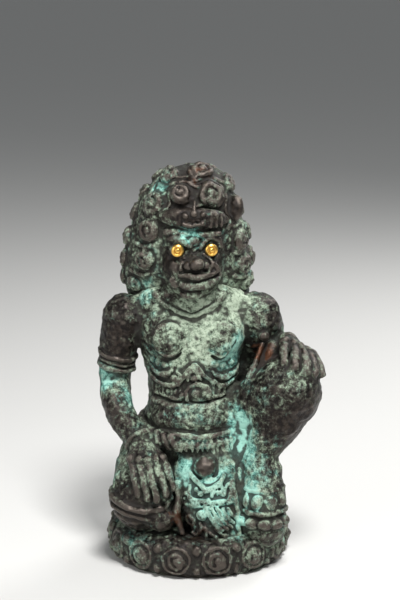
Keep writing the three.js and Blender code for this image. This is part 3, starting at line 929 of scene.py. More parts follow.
TRUNK = Stack(
    [
        (8, 0, 2.5, 18, 14.5),
        (20, 0, 2.2, 18.2, 15),
        (33, -0.8, 0.5, 16.5, 14),
        (41, -1.6, -1.4, 14.8, 13.4),
        (46.5, -1.9, -2.4, 13.7, 13.2),
        (51, -1.9, -1.2, 12.8, 11.4),
        (60, -2, -0.7, 14.3, 11.4),
        (71, -2, 0.2, 17.6, 11),
        (76.5, -2.2, 0.4, 18.6, 10.2),
        (81, -2.2, -0.4, 15.2, 9.6),
        (85, -2, -1, 9.6, 8.6),
        (88, -2, -1.4, 8, 8),
    ]
)
HAIR = Stack(
    [
        (72, -2.8, 9.6, 11.5, 3.4),
        (77, -3, 6.8, 17.4, 8),
        (83, -3.2, 4.6, 18.6, 11.2),
        (90, -3.3, 3.4, 18.6, 13.4),
        (98, -3.2, 2.4, 17.2, 14),
        (105.5, -3, 1.8, 15, 13),
        (111.6, -2.4, 1.4, 12.4, 11.2),
        (115.4, -1.6, 1.4, 9.2, 8.6),
        (117.6, -1.2, 1.4, 5.6, 5.4),
        (118.5, -1.2, 1.4, 1.2, 1.2),
    ]
)
SASH = Stack(
    [
        (10, 5, -17.4, 6.6, 3.4),
        (14, 4.8, -17.4, 7.6, 4),
        (20, 4, -16.4, 8.8, 4.4),
        (27, 3, -14.4, 9.6, 4.8),
        (32, 2.6, -12.2, 9.8, 5),
        (37, 2.4, -10.4, 8.6, 4),
    ]
)


@dataclass
class Base:
    """The round base with its ring of rosettes.

    Attributes:
        radius: Its radius.
        foot: The radius it stands on.
        height: Its height.
        rosettes: How many rosettes.
        rosette_radius: The radius of each.
        first: The bearing of the first, in degrees.
        level: The height of their centres.
    """

    radius: float = 27.0
    foot: float = 24.4
    height: float = 11.2
    rosettes: int = 14
    rosette_radius: float = 4.3
    first: float = -14.0
    level: float = 5.8
    step: float = 0.36

    def model(self, rosette: bpy.types.NodeTree) -> Clay:
        """The base in clay."""
        reach = self.radius + 3
        clay = Clay((-reach, -reach, -1.5), (reach, reach, self.height + 3), self.step)
        clay.add(Drum(self.radius - 0.4, 0.6, self.height, 3.4), 0.5)
        clay.add(Drum(self.foot, 0.0, 4.0, 0.8), 3.0)
        turns = [math.radians(self.first + 360 * i / self.rosettes) for i in range(self.rosettes)]
        places, facing = [], []
        for turn in turns:
            out = (math.sin(turn), -math.cos(turn), 0.06)
            places.append((out[0] * (self.radius - 0.5), out[1] * (self.radius - 0.5), self.level))
            facing.append(out)
        sizes = np.full(len(places), self.rosette_radius * MM)
        clay.add_mesh(grown_mesh(rosette, np.array(places) * MM, {}, np.array(facing), sizes), 0.6)
        for turn in turns:
            between = turn + math.pi / self.rosettes
            x, y = math.sin(between), -math.cos(between)
            rim = self.radius - 0.6
            clay.add(Pebble((x * rim, y * rim, 9.0), (1.3, 1.3, 1.4)), 0.8)
            clay.add(Pebble((x * rim, y * rim, 2.6), (1.0, 1.0, 1.2)), 0.8)
        return clay


@dataclass
class Trunk:
    """The bare trunk with its collar, breasts, chest band and hip belt.

    Attributes:
        rib_pitch: The spacing of the belt's ribs.
    """

    rib_pitch: float = 1.35

    def line(self, places: Sequence[Point], radius: float | Sequence[float], lift: float = 0.2) -> Rod:
        """A rod along places on the trunk's front, each x and z."""
        return Rod([TRUNK.front(x, z, lift) for x, z in places], radius)

    def add_to(self, clay: Clay, rib: bpy.types.NodeTree) -> None:
        """Models the trunk onto the clay."""
        clay.add(TRUNK)
        clay.add(Pebble((0, 9, 20), (17, 11, 11)), 3)
        clay.add([Pebble((-8, -6.6, 69), (7.6, 5.2, 6.2)), Pebble((5.8, -6.6, 69), (7.4, 5.2, 6.2))], 3)
        self.belly(clay)
        self.collar(clay)
        self.breasts(clay)
        self.chest_band(clay, rib)
        self.swags(clay)
        self.hip_belt(clay, rib)

    def belly(self, clay: Clay) -> None:
        """The round belly between the chest band and the belt, with a smooth waist over it."""
        clay.add(Pebble((-1.9, -8.6, 45.0), (11.4, 7.4, 4.6)), 1.5)
        clay.add(self.line([(-12.6, 49.4), (-8, 48.8), (-2, 48.6), (4, 48.8), (9.4, 49.4)], 1.3, -0.5), 1.2)
        clay.cut(self.line([(-11.8, 45.6), (-9.4, 43), (-6, 41.5), (-1.6, 40.8), (3, 41.2), (7.4, 42.4)], 0.6, 2.0), 0.8)
        clay.add(self.line([(9.6, 51.4), (9.2, 46), (8.9, 42.6)], (0.6, 0.9, 0.7), 0.2), 0.8)

    def collar(self, clay: Clay) -> None:
        """A thin cord that sags over the chest below the neck."""
        cord = [(-12.6, 81.6), (-10.8, 79.7), (-8.8, 77.9), (-5.3, 76.3), (-1.8, 75.6), (2.0, 76.8), (4.9, 78.7), (7.4, 81.4)]
        clay.add(self.line(cord, 0.75, -0.1), 0.8)
        clay.cut(self.line([(x, z + 0.95) for x, z in cord[1:-1]], 0.4, 0.45), 0.5)
        clay.cut(self.line([(x, z - 1.1) for x, z in cord[2:-2]], 0.3, 0.3), 0.5)

    def breasts(self, clay: Clay) -> None:
        """Two round bosses, each outlined by a groove with a thin lip below."""
        for x, z, width, height in ((-8.8, 68.3, 4.6, 5.3), (6.6, 68.2, 4.1, 5.2)):
            _, y, _ = TRUNK.front(x, z, 0.4)
            clay.add(Pebble((x, y + 0.2, z), (width, 2.9, height)), 0.5)
            groove = oval((x, y - 0.4, z), width + 0.3, height + 0.3, 12)
            clay.cut(Rod(groove[5:] + groove[:1], (0.25, 0.4, 0.5, 0.6, 0.6, 0.5, 0.4, 0.25)), 0.3)
            lip = oval((x, y - 1.4, z), width * 0.86, height * 0.86, 12)
            clay.add(Rod(lip[7:12], (0.25, 0.4, 0.45, 0.4, 0.25)), 0.3)
            brow = oval((x, y - 0.8, z), width * 0.92, height * 0.92, 12)
            clay.add(Rod(brow[1:6], (0.3, 0.6, 0.8, 0.6, 0.3)), 0.8)

    def chest_band(self, clay: Clay, rib: bpy.types.NodeTree) -> None:
        """The band under the breasts, with a round clasp under a small gable."""
        clay.cut(self.line([(-12.4, 51.0), (-8, 50.4), (-2, 50.1), (3.6, 50.1), (9, 50.8)], 0.55, 0.35), 0.5)
        clay.add(self.line([(-12.6, 51.8), (-8, 51.3), (-5, 51.0)], 0.55), 0.4)
        clay.add(self.line([(3.4, 51.0), (6.6, 51.3), (10, 52.0)], 0.55), 0.4)
        for low, high, count in ((-13.0, -5.4, 8), (4.4, 10.8, 6)):
            line = np.array([TRUNK.front(x, 53.0, 0.1) for x in np.linspace(low, high, 12)])
            numbers = {"Count": count, "Half width": 0.5 * MM, "Half height": 1.4 * MM}
            clay.add_mesh(grown_mesh(rib, line * MM, numbers, chained=True), 0.35)
        x, y, z = TRUNK.front(0, 52.8, 0.5)
        clay.add(Pebble((x, y, z), (3.8, 1.3, 2.9)), 0.5)
        hoop = [(-3.4, 51.2), (-3.3, 53.5), (-2.2, 55.1), (-0.4, 55.7), (1.6, 55.0), (3.3, 53.3), (3.2, 51.2)]
        clay.add(self.line(hoop, 0.6, 1.3), 0.3)
        clay.cut(self.line([(-2.2, 51.8), (-2, 53.8), (-0.4, 54.6), (0.9, 53.8), (0.8, 51.6)], 0.42, 1.9), 0.25)
        clay.add(Pebble(TRUNK.front(-0.7, 52.9, 1.5), (1.2, 0.9, 1.25)), 0.25)
        clay.add(Pebble(TRUNK.front(2.0, 52.9, 1.4), (0.85, 0.8, 1.0)), 0.25)
        clay.add(Pebble(TRUNK.front(-4.7, 52.0, 0.5), (1.1, 0.8, 1.1)), 0.3)
        gable = [(-6.0, 54.8), (-3.8, 58.2), (-1.3, 60.9), (1.6, 58.2), (4.4, 54.8)]
        clay.add(self.line(gable, (0.5, 0.75, 0.8, 0.75, 0.5), 0.4), 0.4)
        clay.cut(self.line([(-2.6, 57.4), (-1.3, 58.9), (0.3, 57.4)], 0.5, 0.7), 0.3)
        clay.add(self.line([(-3.0, 56.8), (-2.5, 58.6), (-1.3, 59.6), (-0.1, 58.7), (0.6, 56.8)], 0.45, 0.5), 0.3)
        clay.add(Pebble(TRUNK.front(-1.2, 57.2, 0.4), (0.9, 0.8, 0.8)), 0.3)

    def swags(self, clay: Clay) -> None:
        """Looped swags at both sides of the gable, one ending in a comma."""
        clay.add(self.line([(-14.2, 60.2), (-12.6, 58.4), (-9.8, 57.8), (-7.8, 59.0)], (0.4, 0.75, 0.85, 0.5), 0.3), 0.4)
        clay.add(
            self.line(
                [(-14.4, 57.6), (-11.8, 55.4), (-8.3, 54.8), (-6.0, 55.8), (-5.2, 57.8), (-6.2, 59.0)],
                (0.4, 0.7, 0.85, 0.8, 0.7, 0.4),
                0.4,
            ),
            0.3,
        )
        clay.cut(self.line([(-13.6, 58.2), (-11.6, 56.7), (-9.0, 56.4)], 0.45, 0.4), 0.3)
        x, y, z = TRUNK.front(-7.1, 56.9, 0.5)
        clay.add(Pebble((x, y, z), (1.5, 0.9, 1.2), tilt=-30), 0.3)
        for x, z, radius in ((-11.8, 61.0, 1.0), (-9.9, 60.6, 0.9), (-13.4, 61.8, 0.8), (7.4, 60.4, 0.8), (9.6, 61.2, 0.9)):
            clay.add(Pebble(TRUNK.front(x, z, 0.0), (radius, 0.9, radius)), 0.5)
        clay.add(self.line([(4.2, 59.2), (5.4, 57.6), (7.5, 56.6), (10.5, 57.6), (12.0, 59.2)], (0.4, 0.7, 0.85, 0.8, 0.4), 0.4), 0.3)
        clay.add(self.line([(4.6, 56.0), (7.0, 54.2), (9.3, 55.0), (11.4, 56.6)], (0.5, 0.7, 0.75, 0.5), 0.3), 0.3)
        clay.cut(self.line([(5.4, 56.6), (7.4, 55.4), (9.6, 56.2)], 0.4, 0.5), 0.3)

    def hip_belt(self, clay: Clay, rib: bpy.types.NodeTree) -> None:
        """The belt that sags in front: a cord, ribs under it, and a thick twisted run over the right hip."""

        def spot(bearing: float, drop: float, lift: float) -> np.ndarray:
            height = 42.1 - 1.7 * math.cos(math.radians(bearing - 8))
            return TRUNK.around(height - drop, bearing, lift)[0]

        clay.add(Rod([spot(b, 0, 1.0) for b in range(0, 360, 20)], 0.95, closed=True, per_span=3), 0.6)
        front = [spot(b, 2.2, 1.5) for b in np.linspace(-14, 40, 14)]
        clay.add(Rod(front, 1.5, squash=0.7), 0.6)
        clay.cut(Rod([spot(b, 1.1, 2.1) for b in np.linspace(-12, 38, 12)], 0.35), 0.3)
        clay.cut(Rod([spot(b, 4.6, 2.2) for b in np.linspace(-18, 40, 12)], 0.6), 0.4)
        length = sum(np.linalg.norm(b - a) for a, b in zip(front, front[1:]))
        line = np.array([spot(b, 2.5, 2.3) for b in np.linspace(-12, 39, 20)])
        numbers = {"Count": int(length / self.rib_pitch), "Half width": 0.55 * MM, "Half height": 1.9 * MM}
        clay.add_mesh(grown_mesh(rib, line * MM, numbers, chained=True), 0.2)
        for i in range(6):
            bearing = -20 - 8.5 * i
            top, foot = spot(bearing - 4, 0.2, 1.6), spot(bearing + 3.5, 3.4 - 0.2 * i, 2.0)
            clay.add(Rod([top, (top + foot) / 2 + (0, -0.8, 0), foot], 1.15), 0.3)
        back = np.array([spot(b, 2.6, 0.6) for b in np.linspace(95, 265, 40)])
        numbers = {"Count": 24, "Half width": 0.8 * MM, "Half height": 1.7 * MM}
        clay.add_mesh(grown_mesh(rib, back * MM, numbers, chained=True), 0.4)


@dataclass
class Hand:
    """A hand with five fingers, from a line of knuckles to a line of tips.

    Attributes:
        wrist: The wrist.
        knuckles: The first, middle and last knuckle.
        tips: The first, middle and last finger tip.
        rise: The direction in which the fingers arch.
        thickness: The radius of a finger.
        arch: How far they arch.
    """

    wrist: Point
    knuckles: Sequence[Point]
    tips: Sequence[Point]
    rise: Point
    thickness: float = 1.3
    arch: float = 0.9

    def add_to(self, clay: Clay) -> None:
        """Models the hand onto the clay."""
        rise = np.array(self.rise)
        roots, ends = smooth_path(self.knuckles, 4), smooth_path(self.tips, 4)
        wrist = np.array(self.wrist)
        for share in (0, 2, 4, 6, 8):
            root = roots[share]
            start = wrist + (root - wrist) * 0.25
            clay.add(Rod([start, (start + root) / 2 + rise * 0.3, root], (2.4, 1.9, 1.5)), 1.0)
        for share in (0, 2, 4, 6, 8):
            root, tip = roots[share], ends[share]
            middle = root + (tip - root) * 0.45 + rise * self.arch
            radii = (self.thickness * 1.05, self.thickness, self.thickness * 0.8)
            clay.add(Rod([root, middle, tip], radii), 0.3)
            clay.add(Pebble(root + rise * 0.5, self.thickness * 1.15), 0.4)


@dataclass
class Arms:
    """Both arms with their armlets, bracelets and hands."""

    def add_to(self, clay: Clay) -> None:
        """Models the arms onto the clay."""
        right = [(-21.6, -0.3, 73.2), (-23.8, 0, 64), (-25.1, 1.2, 54), (-23.6, -5.2, 45.4), (-17, -11.8, 37)]
        clay.add(Rod(right, (7.0, 5.7, 4.7, 4.4, 3.6)), 1.6)
        for z, radius, thickness in ((61.9, 5.5, 0.75), (60.2, 5.3, 0.5), (58.3, 5.2, 0.8)):
            share = (73.2 - z) / 19.2
            centre = (-21.6 - 3.5 * share - 0.4, 1.5 * share - 0.6, z)
            clay.add(ring(centre, (0.22, -0.14, 1), radius, thickness), 0.5)
        left = [(17.6, -0.2, 73.2), (19.6, 2.2, 67.4), (21, 4.4, 61.6), (26.6, -3.2, 65)]
        clay.add(Rod(left, (7.2, 5.8, 4.8, 3.7)), 1.6)
        for share, thickness in ((0.5, 0.7), (0.68, 0.6)):
            centre = (17.6 + 3.4 * share, -0.2 + 4.6 * share, 73.2 - 11.6 * share)
            clay.add(ring(centre, (-0.27, -0.36, 0.9), 5.9, thickness), 0.5)
        clay.add(Pebble((15, 3.4, 60.5), (7, 2.4, 9.5)), 2.5)
        self.hands(clay)

    def hands(self, clay: Clay) -> None:
        """The right hand laid over the knee, and the left over the raised knee."""
        right = Hand(
            (-17, -12.4, 37.4),
            [(-19.4, -15.8, 33.8), (-14.8, -18, 34), (-10.4, -16.8, 34)],
            [(-17.6, -21.2, 24.6), (-12.2, -22.8, 23.4), (-7.2, -20.2, 25.8)],
            (0, -0.9, 0.44),
        )
        right.add_to(clay)
        x, y, z = -17.9, -15.2, 36.2
        clay.add(Rod(oval((x, y, z), 1.5, 1.5, 8), 0.5, closed=True, per_span=3), 0.3)
        clay.add(Pebble((x, y - 0.2, z), (1.0, 1.0, 1.0)), 0.3)
        clay.add(ring((-17.6, -11, 38.2), (0.45, -0.55, -0.55), 4.0, 0.7), 0.5)
        left = Hand(
            (26.4, -4, 64.8),
            [(25.2, -8.4, 67), (29.8, -9, 65.2), (33.4, -5.8, 62.4)],
            [(24.8, -15.2, 63), (31.4, -17.4, 60.8), (36.2, -11.8, 58.6)],
            (0.3, -0.5, 0.81),
            thickness=1.45,
        )
        clay.add(Pebble((29.6, -8.2, 61.6), (5.6, 5.2, 3.4)), 1.5)
        left.add_to(clay)
        clay.add(Pebble((19.6, -6.4, 68.6), (1.5, 1.4, 1.3)), 0.6)


@dataclass
class Legs:
    """The folded right leg and the raised left one, with hems, anklets and toes."""

    def add_to(self, clay: Clay) -> None:
        """Models the legs onto the clay."""
        self.kneeling(clay)
        self.raised(clay)
        self.left_foot(clay)

    def kneeling(self, clay: Clay) -> None:
        """The right leg: its knee on the base with a hem over it, and the shin and foot that lie behind."""
        clay.add(Rod([(-12.4, 1, 30.8), (-14.8, -6, 26), (-16.2, -12, 20.4)], (10.8, 10.4, 9.7)), 2)
        clay.add(Rod([(-16, -10.6, 17.4), (-18.5, 12, 15.5)], (7.6, 5.4)), 1.5)
        clay.add(Rod([(-18.5, 12, 15.5), (-14, 18, 14), (-10, 19.5, 13.4)], (4.6, 3.8, 2.8)), 1.2)
        for i in range(5):
            clay.add(Pebble((-8.4 - 0.84 * i, 20.4 + 0.5 * i, 13.6 - 0.3 * i), (1.6, 1.1, 1.2)), 0.3)

        def knee(bearing: float, z: float, lift: float) -> tuple[float, float, float]:
            turn = math.radians(bearing)
            reach = math.sqrt(max(9.7**2 - (z - 20.4) ** 2, 1)) + lift
            return (-16.2 + reach * math.sin(turn), -12 - reach * math.cos(turn), z)

        hem = [(-104, 22.6), (-80, 22.4), (-50, 21.4), (-20, 20.2), (10, 19.6), (40, 20.2), (64, 22.0)]
        clay.add(Rod([knee(b, z, 0.2) for b, z in hem], (0.9, 1.0, 1.1, 1.1, 1.0, 0.8, 0.5)), 0.5)
        clay.cut(Rod([knee(b, z - 1.5, 0.4) for b, z in hem[:-1]], 0.5), 0.4)
        clay.add(Rod([knee(b, z - 2.7, -0.1) for b, z in hem[:-1]], 0.8), 0.8)
        clay.cut(Rod([knee(b, z - 4.1, 0.6) for b, z in hem[1:-2]], 0.7), 0.8)
        for bearing, z, size in ((-84, 17.0, 1.2), (-66, 15.6, 1.3), (-48, 14.6, 1.3), (-30, 13.4, 1.3), (-12, 12.8, 1.2), (-74, 13.4, 1.1)):
            clay.cut(Pebble(knee(bearing, z, 0.5), (size, size * 0.9, size * 0.7)), 0.5)
        clay.add(Pebble((-11.5, -19.4, 16.2), (4.6, 2.6, 3.6)), 1.5)
        fold = [(-6.4, -17.0, 26.6), (-6.0, -18.6, 22), (-6.2, -19.6, 18), (-4.8, -20.4, 12.4)]
        clay.add(Rod(fold, (0.7, 1.1, 1.2, 0.9)), 0.8)
        clay.cut(Rod([(x + 1.7, y - 0.6, z) for x, y, z in fold], 0.5), 0.5)


    def raised(self, clay: Clay) -> None:
        """The left leg: thigh, round knee and shin."""
        clay.add(Rod([(7, -1, 39), (16, -5.6, 46.4), (26.2, -10.8, 53)], (9, 8.7, 10.2)), 2)
        calf = [(25.4, -11.2, 51), (23.6, -11.6, 46.2), (20.8, -12.6, 40.2), (18.4, -13, 33.6), (19.2, -15.2, 24), (19.2, -14.6, 13)]
        clay.add(Rod(calf, (8.6, 8.4, 6.4, 5.4, 6.3, 6.6)), 1.5)
        cloth = [(22, -5, 64.6), (17.8, -8, 56.4), (14.8, -11, 48), (14.2, -12.2, 36)]
        clay.add(Rod(cloth, (2.2, 2.6, 2.2, 1.8)), 1.2)
        clay.add(Rod([(18.9, -6.4, 66.1), (16.6, -9.4, 60.5), (14.4, -10.8, 55.5), (13.2, -12.2, 50)], 0.8), 0.7)

    def left_foot(self, clay: Clay) -> None:
        """The left foot: a row of upper folds, a ridge and a row of toes."""

        def spot(bearing: float, z: float, reach: float) -> tuple[float, float, float]:
            turn = math.radians(bearing)
            return (19.2 + reach * math.sin(turn), -15 - reach * math.cos(turn), z)

        for bearing, width in ((-50, 1.7), (-18, 2.1), (16, 2.1), (50, 1.9)):
            clay.add(Pebble(spot(bearing, 22, 6.0), (width, width * 0.8, 2.5), turn=-bearing), 0.5)
        clay.add(Rod([spot(b, 18.4 + 0.4 * math.cos(math.radians(b)), 6.7) for b in range(-90, 100, 20)], 0.8), 0.5)
        clay.add(Rod([spot(b, 25.2, 5.9) for b in range(-90, 100, 20)], 0.6), 0.5)
        for bearing, width in ((-58, 1.8), (-28, 2.1), (2, 2.2), (30, 2.0), (58, 1.8)):
            clay.add(Pebble(spot(bearing, 15.6, 6.9), (width, 1.9, 1.7), turn=-bearing), 0.5)


@dataclass
class Sash:
    """The cloth that hangs between the legs, with a boss, a bowed cord, ribbed loops, strands and tendrils."""

    def line(self, places: Sequence[Point], radius: float | Sequence[float], lift: float = 0.4) -> Rod:
        """A rod along places on the sash, each x and z."""
        return Rod([SASH.front(x, z, lift) for x, z in places], radius)

    def add_to(self, clay: Clay, rib: bpy.types.NodeTree) -> None:
        """Models the sash onto the clay."""
        clay.add(SASH, 1.5)
        x, y, z = SASH.front(2.0, 31.8, 0.2)
        clay.cut(Rod(oval((x, y - 0.3, z), 3.7, 3.7), 0.6, closed=True, per_span=3), 0.4)
        clay.add(Pebble((x, y + 0.2, z), (3.3, 3.0, 3.3)), 0.2)
        clay.add(self.line([(-2.4, 29.8), (0.5, 27.0), (2.6, 25.4), (5.8, 26.8), (7.6, 29.4)], (0.5, 0.8, 0.95, 0.8, 0.5)), 0.3)
        clay.cut(self.line([(-2.6, 28.4), (0.2, 26.0), (2.4, 24.4), (5.8, 25.8)], 0.4, 0.5), 0.3)
        self.loops(clay, rib)
        self.strands(clay)
        self.tendrils(clay)

    def loops(self, clay: Clay, rib: bpy.types.NodeTree) -> None:
        """A hanging loop with beads, a standing loop with ribs, and a hook beside it."""
        hanging = [(-2.6, 26.4), (-2.8, 23.4), (-1.3, 22.2), (1.1, 22.1), (3.0, 22.8)]
        clay.add(self.line(hanging, (0.5, 0.75, 0.8, 0.75, 0.5)), 0.25)
        clay.cut(self.line([(-1.6, 25.6), (-1.4, 24.0), (0.2, 23.3), (2.0, 23.6)], 0.4, 0.6), 0.25)
        for x, z, size in ((0.8, 24.2, 0.85), (-0.5, 25.3, 0.75), (1.9, 25.0, 0.6), (-3.9, 24.2, 0.7), (-4.2, 22.4, 0.6)):
            clay.add(Pebble(SASH.front(x, z, 0.5), (size, 0.8, size)), 0.25)
        standing = [(4.0, 23.6), (4.5, 26.0), (6.2, 26.6), (7.2, 25.8), (7.2, 24.0)]
        clay.add(self.line(standing, (0.5, 0.7, 0.75, 0.7, 0.5)), 0.25)
        row = np.array([SASH.front(x, 25.0, 0.6) for x in np.linspace(4.8, 6.6, 4)])
        numbers = {"Count": 3, "Half width": 0.36 * MM, "Half height": 1.3 * MM}
        clay.add_mesh(grown_mesh(rib, row * MM, numbers, chained=True), 0.2)
        hook = [(7.6, 24.0), (8.4, 26.4), (9.5, 26.2), (9.6, 24.0), (8.9, 22.6)]
        clay.add(self.line(hook, (0.4, 0.65, 0.7, 0.65, 0.4)), 0.25)
        clay.add(self.line([(-5.0, 21.2), (-1, 20.9), (3, 21.3), (7, 21.8), (10.4, 21.8)], (0.5, 0.9, 1.0, 0.9, 0.5), 0.1), 0.6)
        for x in (0.8, 2.9, 5.2, 8.0):
            clay.cut(Pebble(SASH.front(x, 21.2 + 0.05 * x, 0.8), (0.6, 0.7, 0.45)), 0.2)

    def strands(self, clay: Clay) -> None:
        """Strands that slant down to the right, with deep gaps between."""
        for i, (length, width) in enumerate(((7.6, 0.8), (7.4, 0.7), (6.6, 0.7), (5.0, 0.65), (3.6, 0.6))):
            top = (1.9 + 1.75 * i, 20.3 - 0.1 * i)
            foot = (top[0] + length * 0.68, top[1] - length * 0.9)
            middle = ((top[0] + foot[0]) / 2 - 0.4, (top[1] + foot[1]) / 2)
            clay.add(self.line([top, middle, foot], (width * 0.8, width, width * 0.8), 0.5), 0.25)
        clay.add(Pebble(SASH.front(1.0, 17.9, 0.4), (1.7, 1.1, 1.7)), 0.5)
        clay.cut(self.line([(-1.2, 15.9), (1.2, 15.6), (3.4, 15.9)], 0.5, 0.6), 0.4)

    def tendrils(self, clay: Clay) -> None:
        """Curled tendrils below, and the cloth's two right edges."""
        curled = (
            [(-2.6, 17.6), (-1.3, 15.8), (-2.0, 14.4), (-3.4, 15.2), (-3.2, 16.8)],
            [(0.2, 15.6), (0.9, 13.8), (0.4, 12.2), (-0.6, 11.4), (-1.7, 12.2)],
            [(1.8, 14.4), (2.6, 12.8), (2.2, 10.6)],
            [(1.9, 14.6), (4.0, 12.6), (5.4, 11.2)],
            [(-4.6, 14.2), (-3.8, 12.2), (-2.6, 11.0)],
            [(5.2, 14.0), (6.8, 12.2), (8.4, 11.4)],
        )
        for tendril in curled:
            clay.add(self.line(tendril, 0.55), 0.25)
        clay.add(self.line([(9.8, 27.4), (11.0, 21.7), (11.6, 16), (11.8, 11)], 0.7, 0.2), 0.5)
        clay.add(Rod([(13.0, -10.6, 38), (13.2, -12.4, 30), (13.6, -13.8, 21), (14, -14.6, 11)], (2.6, 3.0, 3.2, 3.2)), 1.2)
        clay.add(Rod([(12.4, -15.2, 30), (12.9, -16.6, 21.7), (13.4, -17.4, 15), (14.0, -17.8, 11)], 0.8), 0.8)


@dataclass
class Face:
    """The guardian's face: a broad relief, turned a little to the figure's left.

    Attributes:
        middle: The middle of the face.
        turn: How far it turns, in degrees.
        half_width: Its half width.
        half_height: Its half height.
        eye_spacing: From eye to eye.
        eye_lift: The eyes' height over the middle.
    """

    middle: Point = (-1.0, -15.0, 93.0)
    turn: float = 5.0
    half_width: float = 9.0
    half_height: float = 11.0
    eye_spacing: float = 9.7
    eye_lift: float = 2.6
    lumps: Sequence[Point] = (
        (0.3, -1.0, 2.6, 2.0, 2.0),
        (0.2, 2.4, 0.9, 1.1, 1.8),
        (-4.85, 2.6, 1.0, 1.9, 1.8),
        (4.85, 2.6, 1.0, 1.9, 1.8),
        (-4.85, 2.6, -1.2, 3.4, 3.2),
        (4.85, 2.6, -1.2, 3.4, 3.2),
        (-5.6, -2.6, 1.4, 2.2, 2.6),
        (6.0, -2.6, 1.2, 2.2, 2.6),
        (0.8, -5.8, 1.8, 5.4, 3.0),
        (-0.6, -9.8, 1.6, 3.2, 1.6),
    )

    def relief(self, left: Any, up: Any) -> Any:
        """How far out the face stands at a place on it."""
        curve = 8 * np.sqrt(np.maximum(0, 1 - (left / 9.8) ** 2 - ((up + 0.6) / 14) ** 2)) - 8
        for x, z, out, a, b in self.lumps:
            curve = curve + out * np.exp(-(((left - x) / a) ** 2) - ((up - z) / b) ** 2)
        return curve

    def box(self) -> tuple[np.ndarray, np.ndarray]:
        """The lowest and highest corner that hold the face."""
        middle = np.array(self.middle)
        return middle - (11, 7, self.half_height + 1), middle + (11, 16, self.half_height + 1)

    def distance(self, x: np.ndarray, y: np.ndarray, z: np.ndarray) -> np.ndarray:
        """How far each place is from the face's surface."""
        cos, sin = math.cos(math.radians(self.turn)), math.sin(math.radians(self.turn))
        dx, dy, up = x - self.middle[0], y - self.middle[1], z - self.middle[2]
        left, out = dx * cos + dy * sin, dx * sin - dy * cos
        front = (out - self.relief(left, up)) * 0.75
        taper = np.maximum(1 - np.abs(up / 12) ** 3.2, 0.02) ** 0.45
        side = (np.abs(left) - self.half_width * taper) * 0.85
        edge = -melt(-front, -np.maximum(side, np.abs(up) - self.half_height), 2.2)
        return np.maximum(edge, -13 - out)

    def spot(self, left: float, up: float, lift: float = 0.0) -> tuple[float, float, float]:
        """The place on the face's surface, lifted off it."""
        out = float(self.relief(left, up)) + lift
        cos, sin = math.cos(math.radians(self.turn)), math.sin(math.radians(self.turn))
        return (
            self.middle[0] + left * cos + out * sin,
            self.middle[1] + left * sin - out * cos,
            self.middle[2] + up,
        )

    def line(self, places: Sequence[Point], radius: float | Sequence[float], lift: float = 0.0) -> Rod:
        """A rod along places on the face, each left and up."""
        return Rod([self.spot(left, up, lift) for left, up in places], radius)

    def add_to(self, clay: Clay) -> None:
        """Models the face onto the clay."""
        clay.add(self, 1.2)
        self.brows(clay)
        self.nose(clay)
        self.mouth(clay)
        for side in (-1, 1):
            x, y, z = self.spot(side * self.eye_spacing / 2, self.eye_lift, -0.4)
            clay.cut(Rod(oval((x, y, z), 2.45, 2.5), 0.45, closed=True, per_span=3), 0.4)
        clay.cut(self.line([(-7.4, 0.2), (-5.4, -0.1), (-3.4, -0.2)], 0.4, 0.1), 0.5)
        clay.cut(self.line([(8.4, 0.0), (6.8, -0.6), (5.4, -0.6)], 0.35, 0.1), 0.5)

    def brows(self, clay: Clay) -> None:
        """A frowning V: a straight brow, an arched one, and the knob between them."""
        clay.add(self.line([(-9.0, 5.6), (-5.9, 6.2), (-2.9, 5.2), (-1.2, 4.0)], (0.8, 1.2, 1.35, 0.9), 0.4), 0.4)
        clay.add(
            self.line([(1.5, 3.0), (2.5, 4.9), (4.5, 6.1), (7.0, 5.2), (8.2, 3.0)], (0.6, 0.9, 1.0, 0.9, 0.6), 0.3), 0.4
        )
        clay.add(Pebble(self.spot(-0.2, 5.3, 0.7), (1.4, 1.2, 1.5), tilt=25), 0.3)
        clay.cut(self.line([(-1.9, 3.1), (-0.3, 1.9), (1.3, 2.6)], 0.4, 0.1), 0.3)
        clay.add(self.line([(-8.4, 7.6), (-4.4, 7.4), (2.8, 6.9)], (0.7, 0.9, 0.7), 0.4), 0.8)

    def nose(self, clay: Clay) -> None:
        """A short broad nose with flared wings, and the folds beside it."""
        clay.add(Pebble(self.spot(0.4, -0.9, -0.2), (2.0, 1.8, 1.9)), 0.6)
        clay.add(Pebble(self.spot(-1.9, -1.8, 0.0), (1.6, 1.5, 1.3), tilt=-20), 0.4)
        clay.add(Pebble(self.spot(3.0, -1.6, 0.0), (1.4, 1.4, 1.2), tilt=20), 0.4)
        clay.cut(self.line([(-3.9, -2.6), (-1.6, -3.5), (1.2, -3.5), (3.6, -2.9)], 0.45, 0.1), 0.3)
        for x, z in ((-1.3, -3.0), (1.8, -2.9)):
            clay.cut(Pebble(self.spot(x, z, 0.4), (0.6, 0.8, 0.4)), 0.2)
        clay.add(self.line([(2.7, 1.4), (4.2, 0.2), (5.0, -1.4), (4.4, -3.0)], 0.5, 0.3), 0.4)
        clay.add(self.line([(-3.2, 0.2), (-4.0, -1.4), (-4.0, -2.8)], 0.45, 0.3), 0.4)
        clay.add(self.line([(5.6, -1.2), (6.8, -3.0), (7.6, -5.0)], (0.5, 0.8, 0.6), 0.3), 0.6)

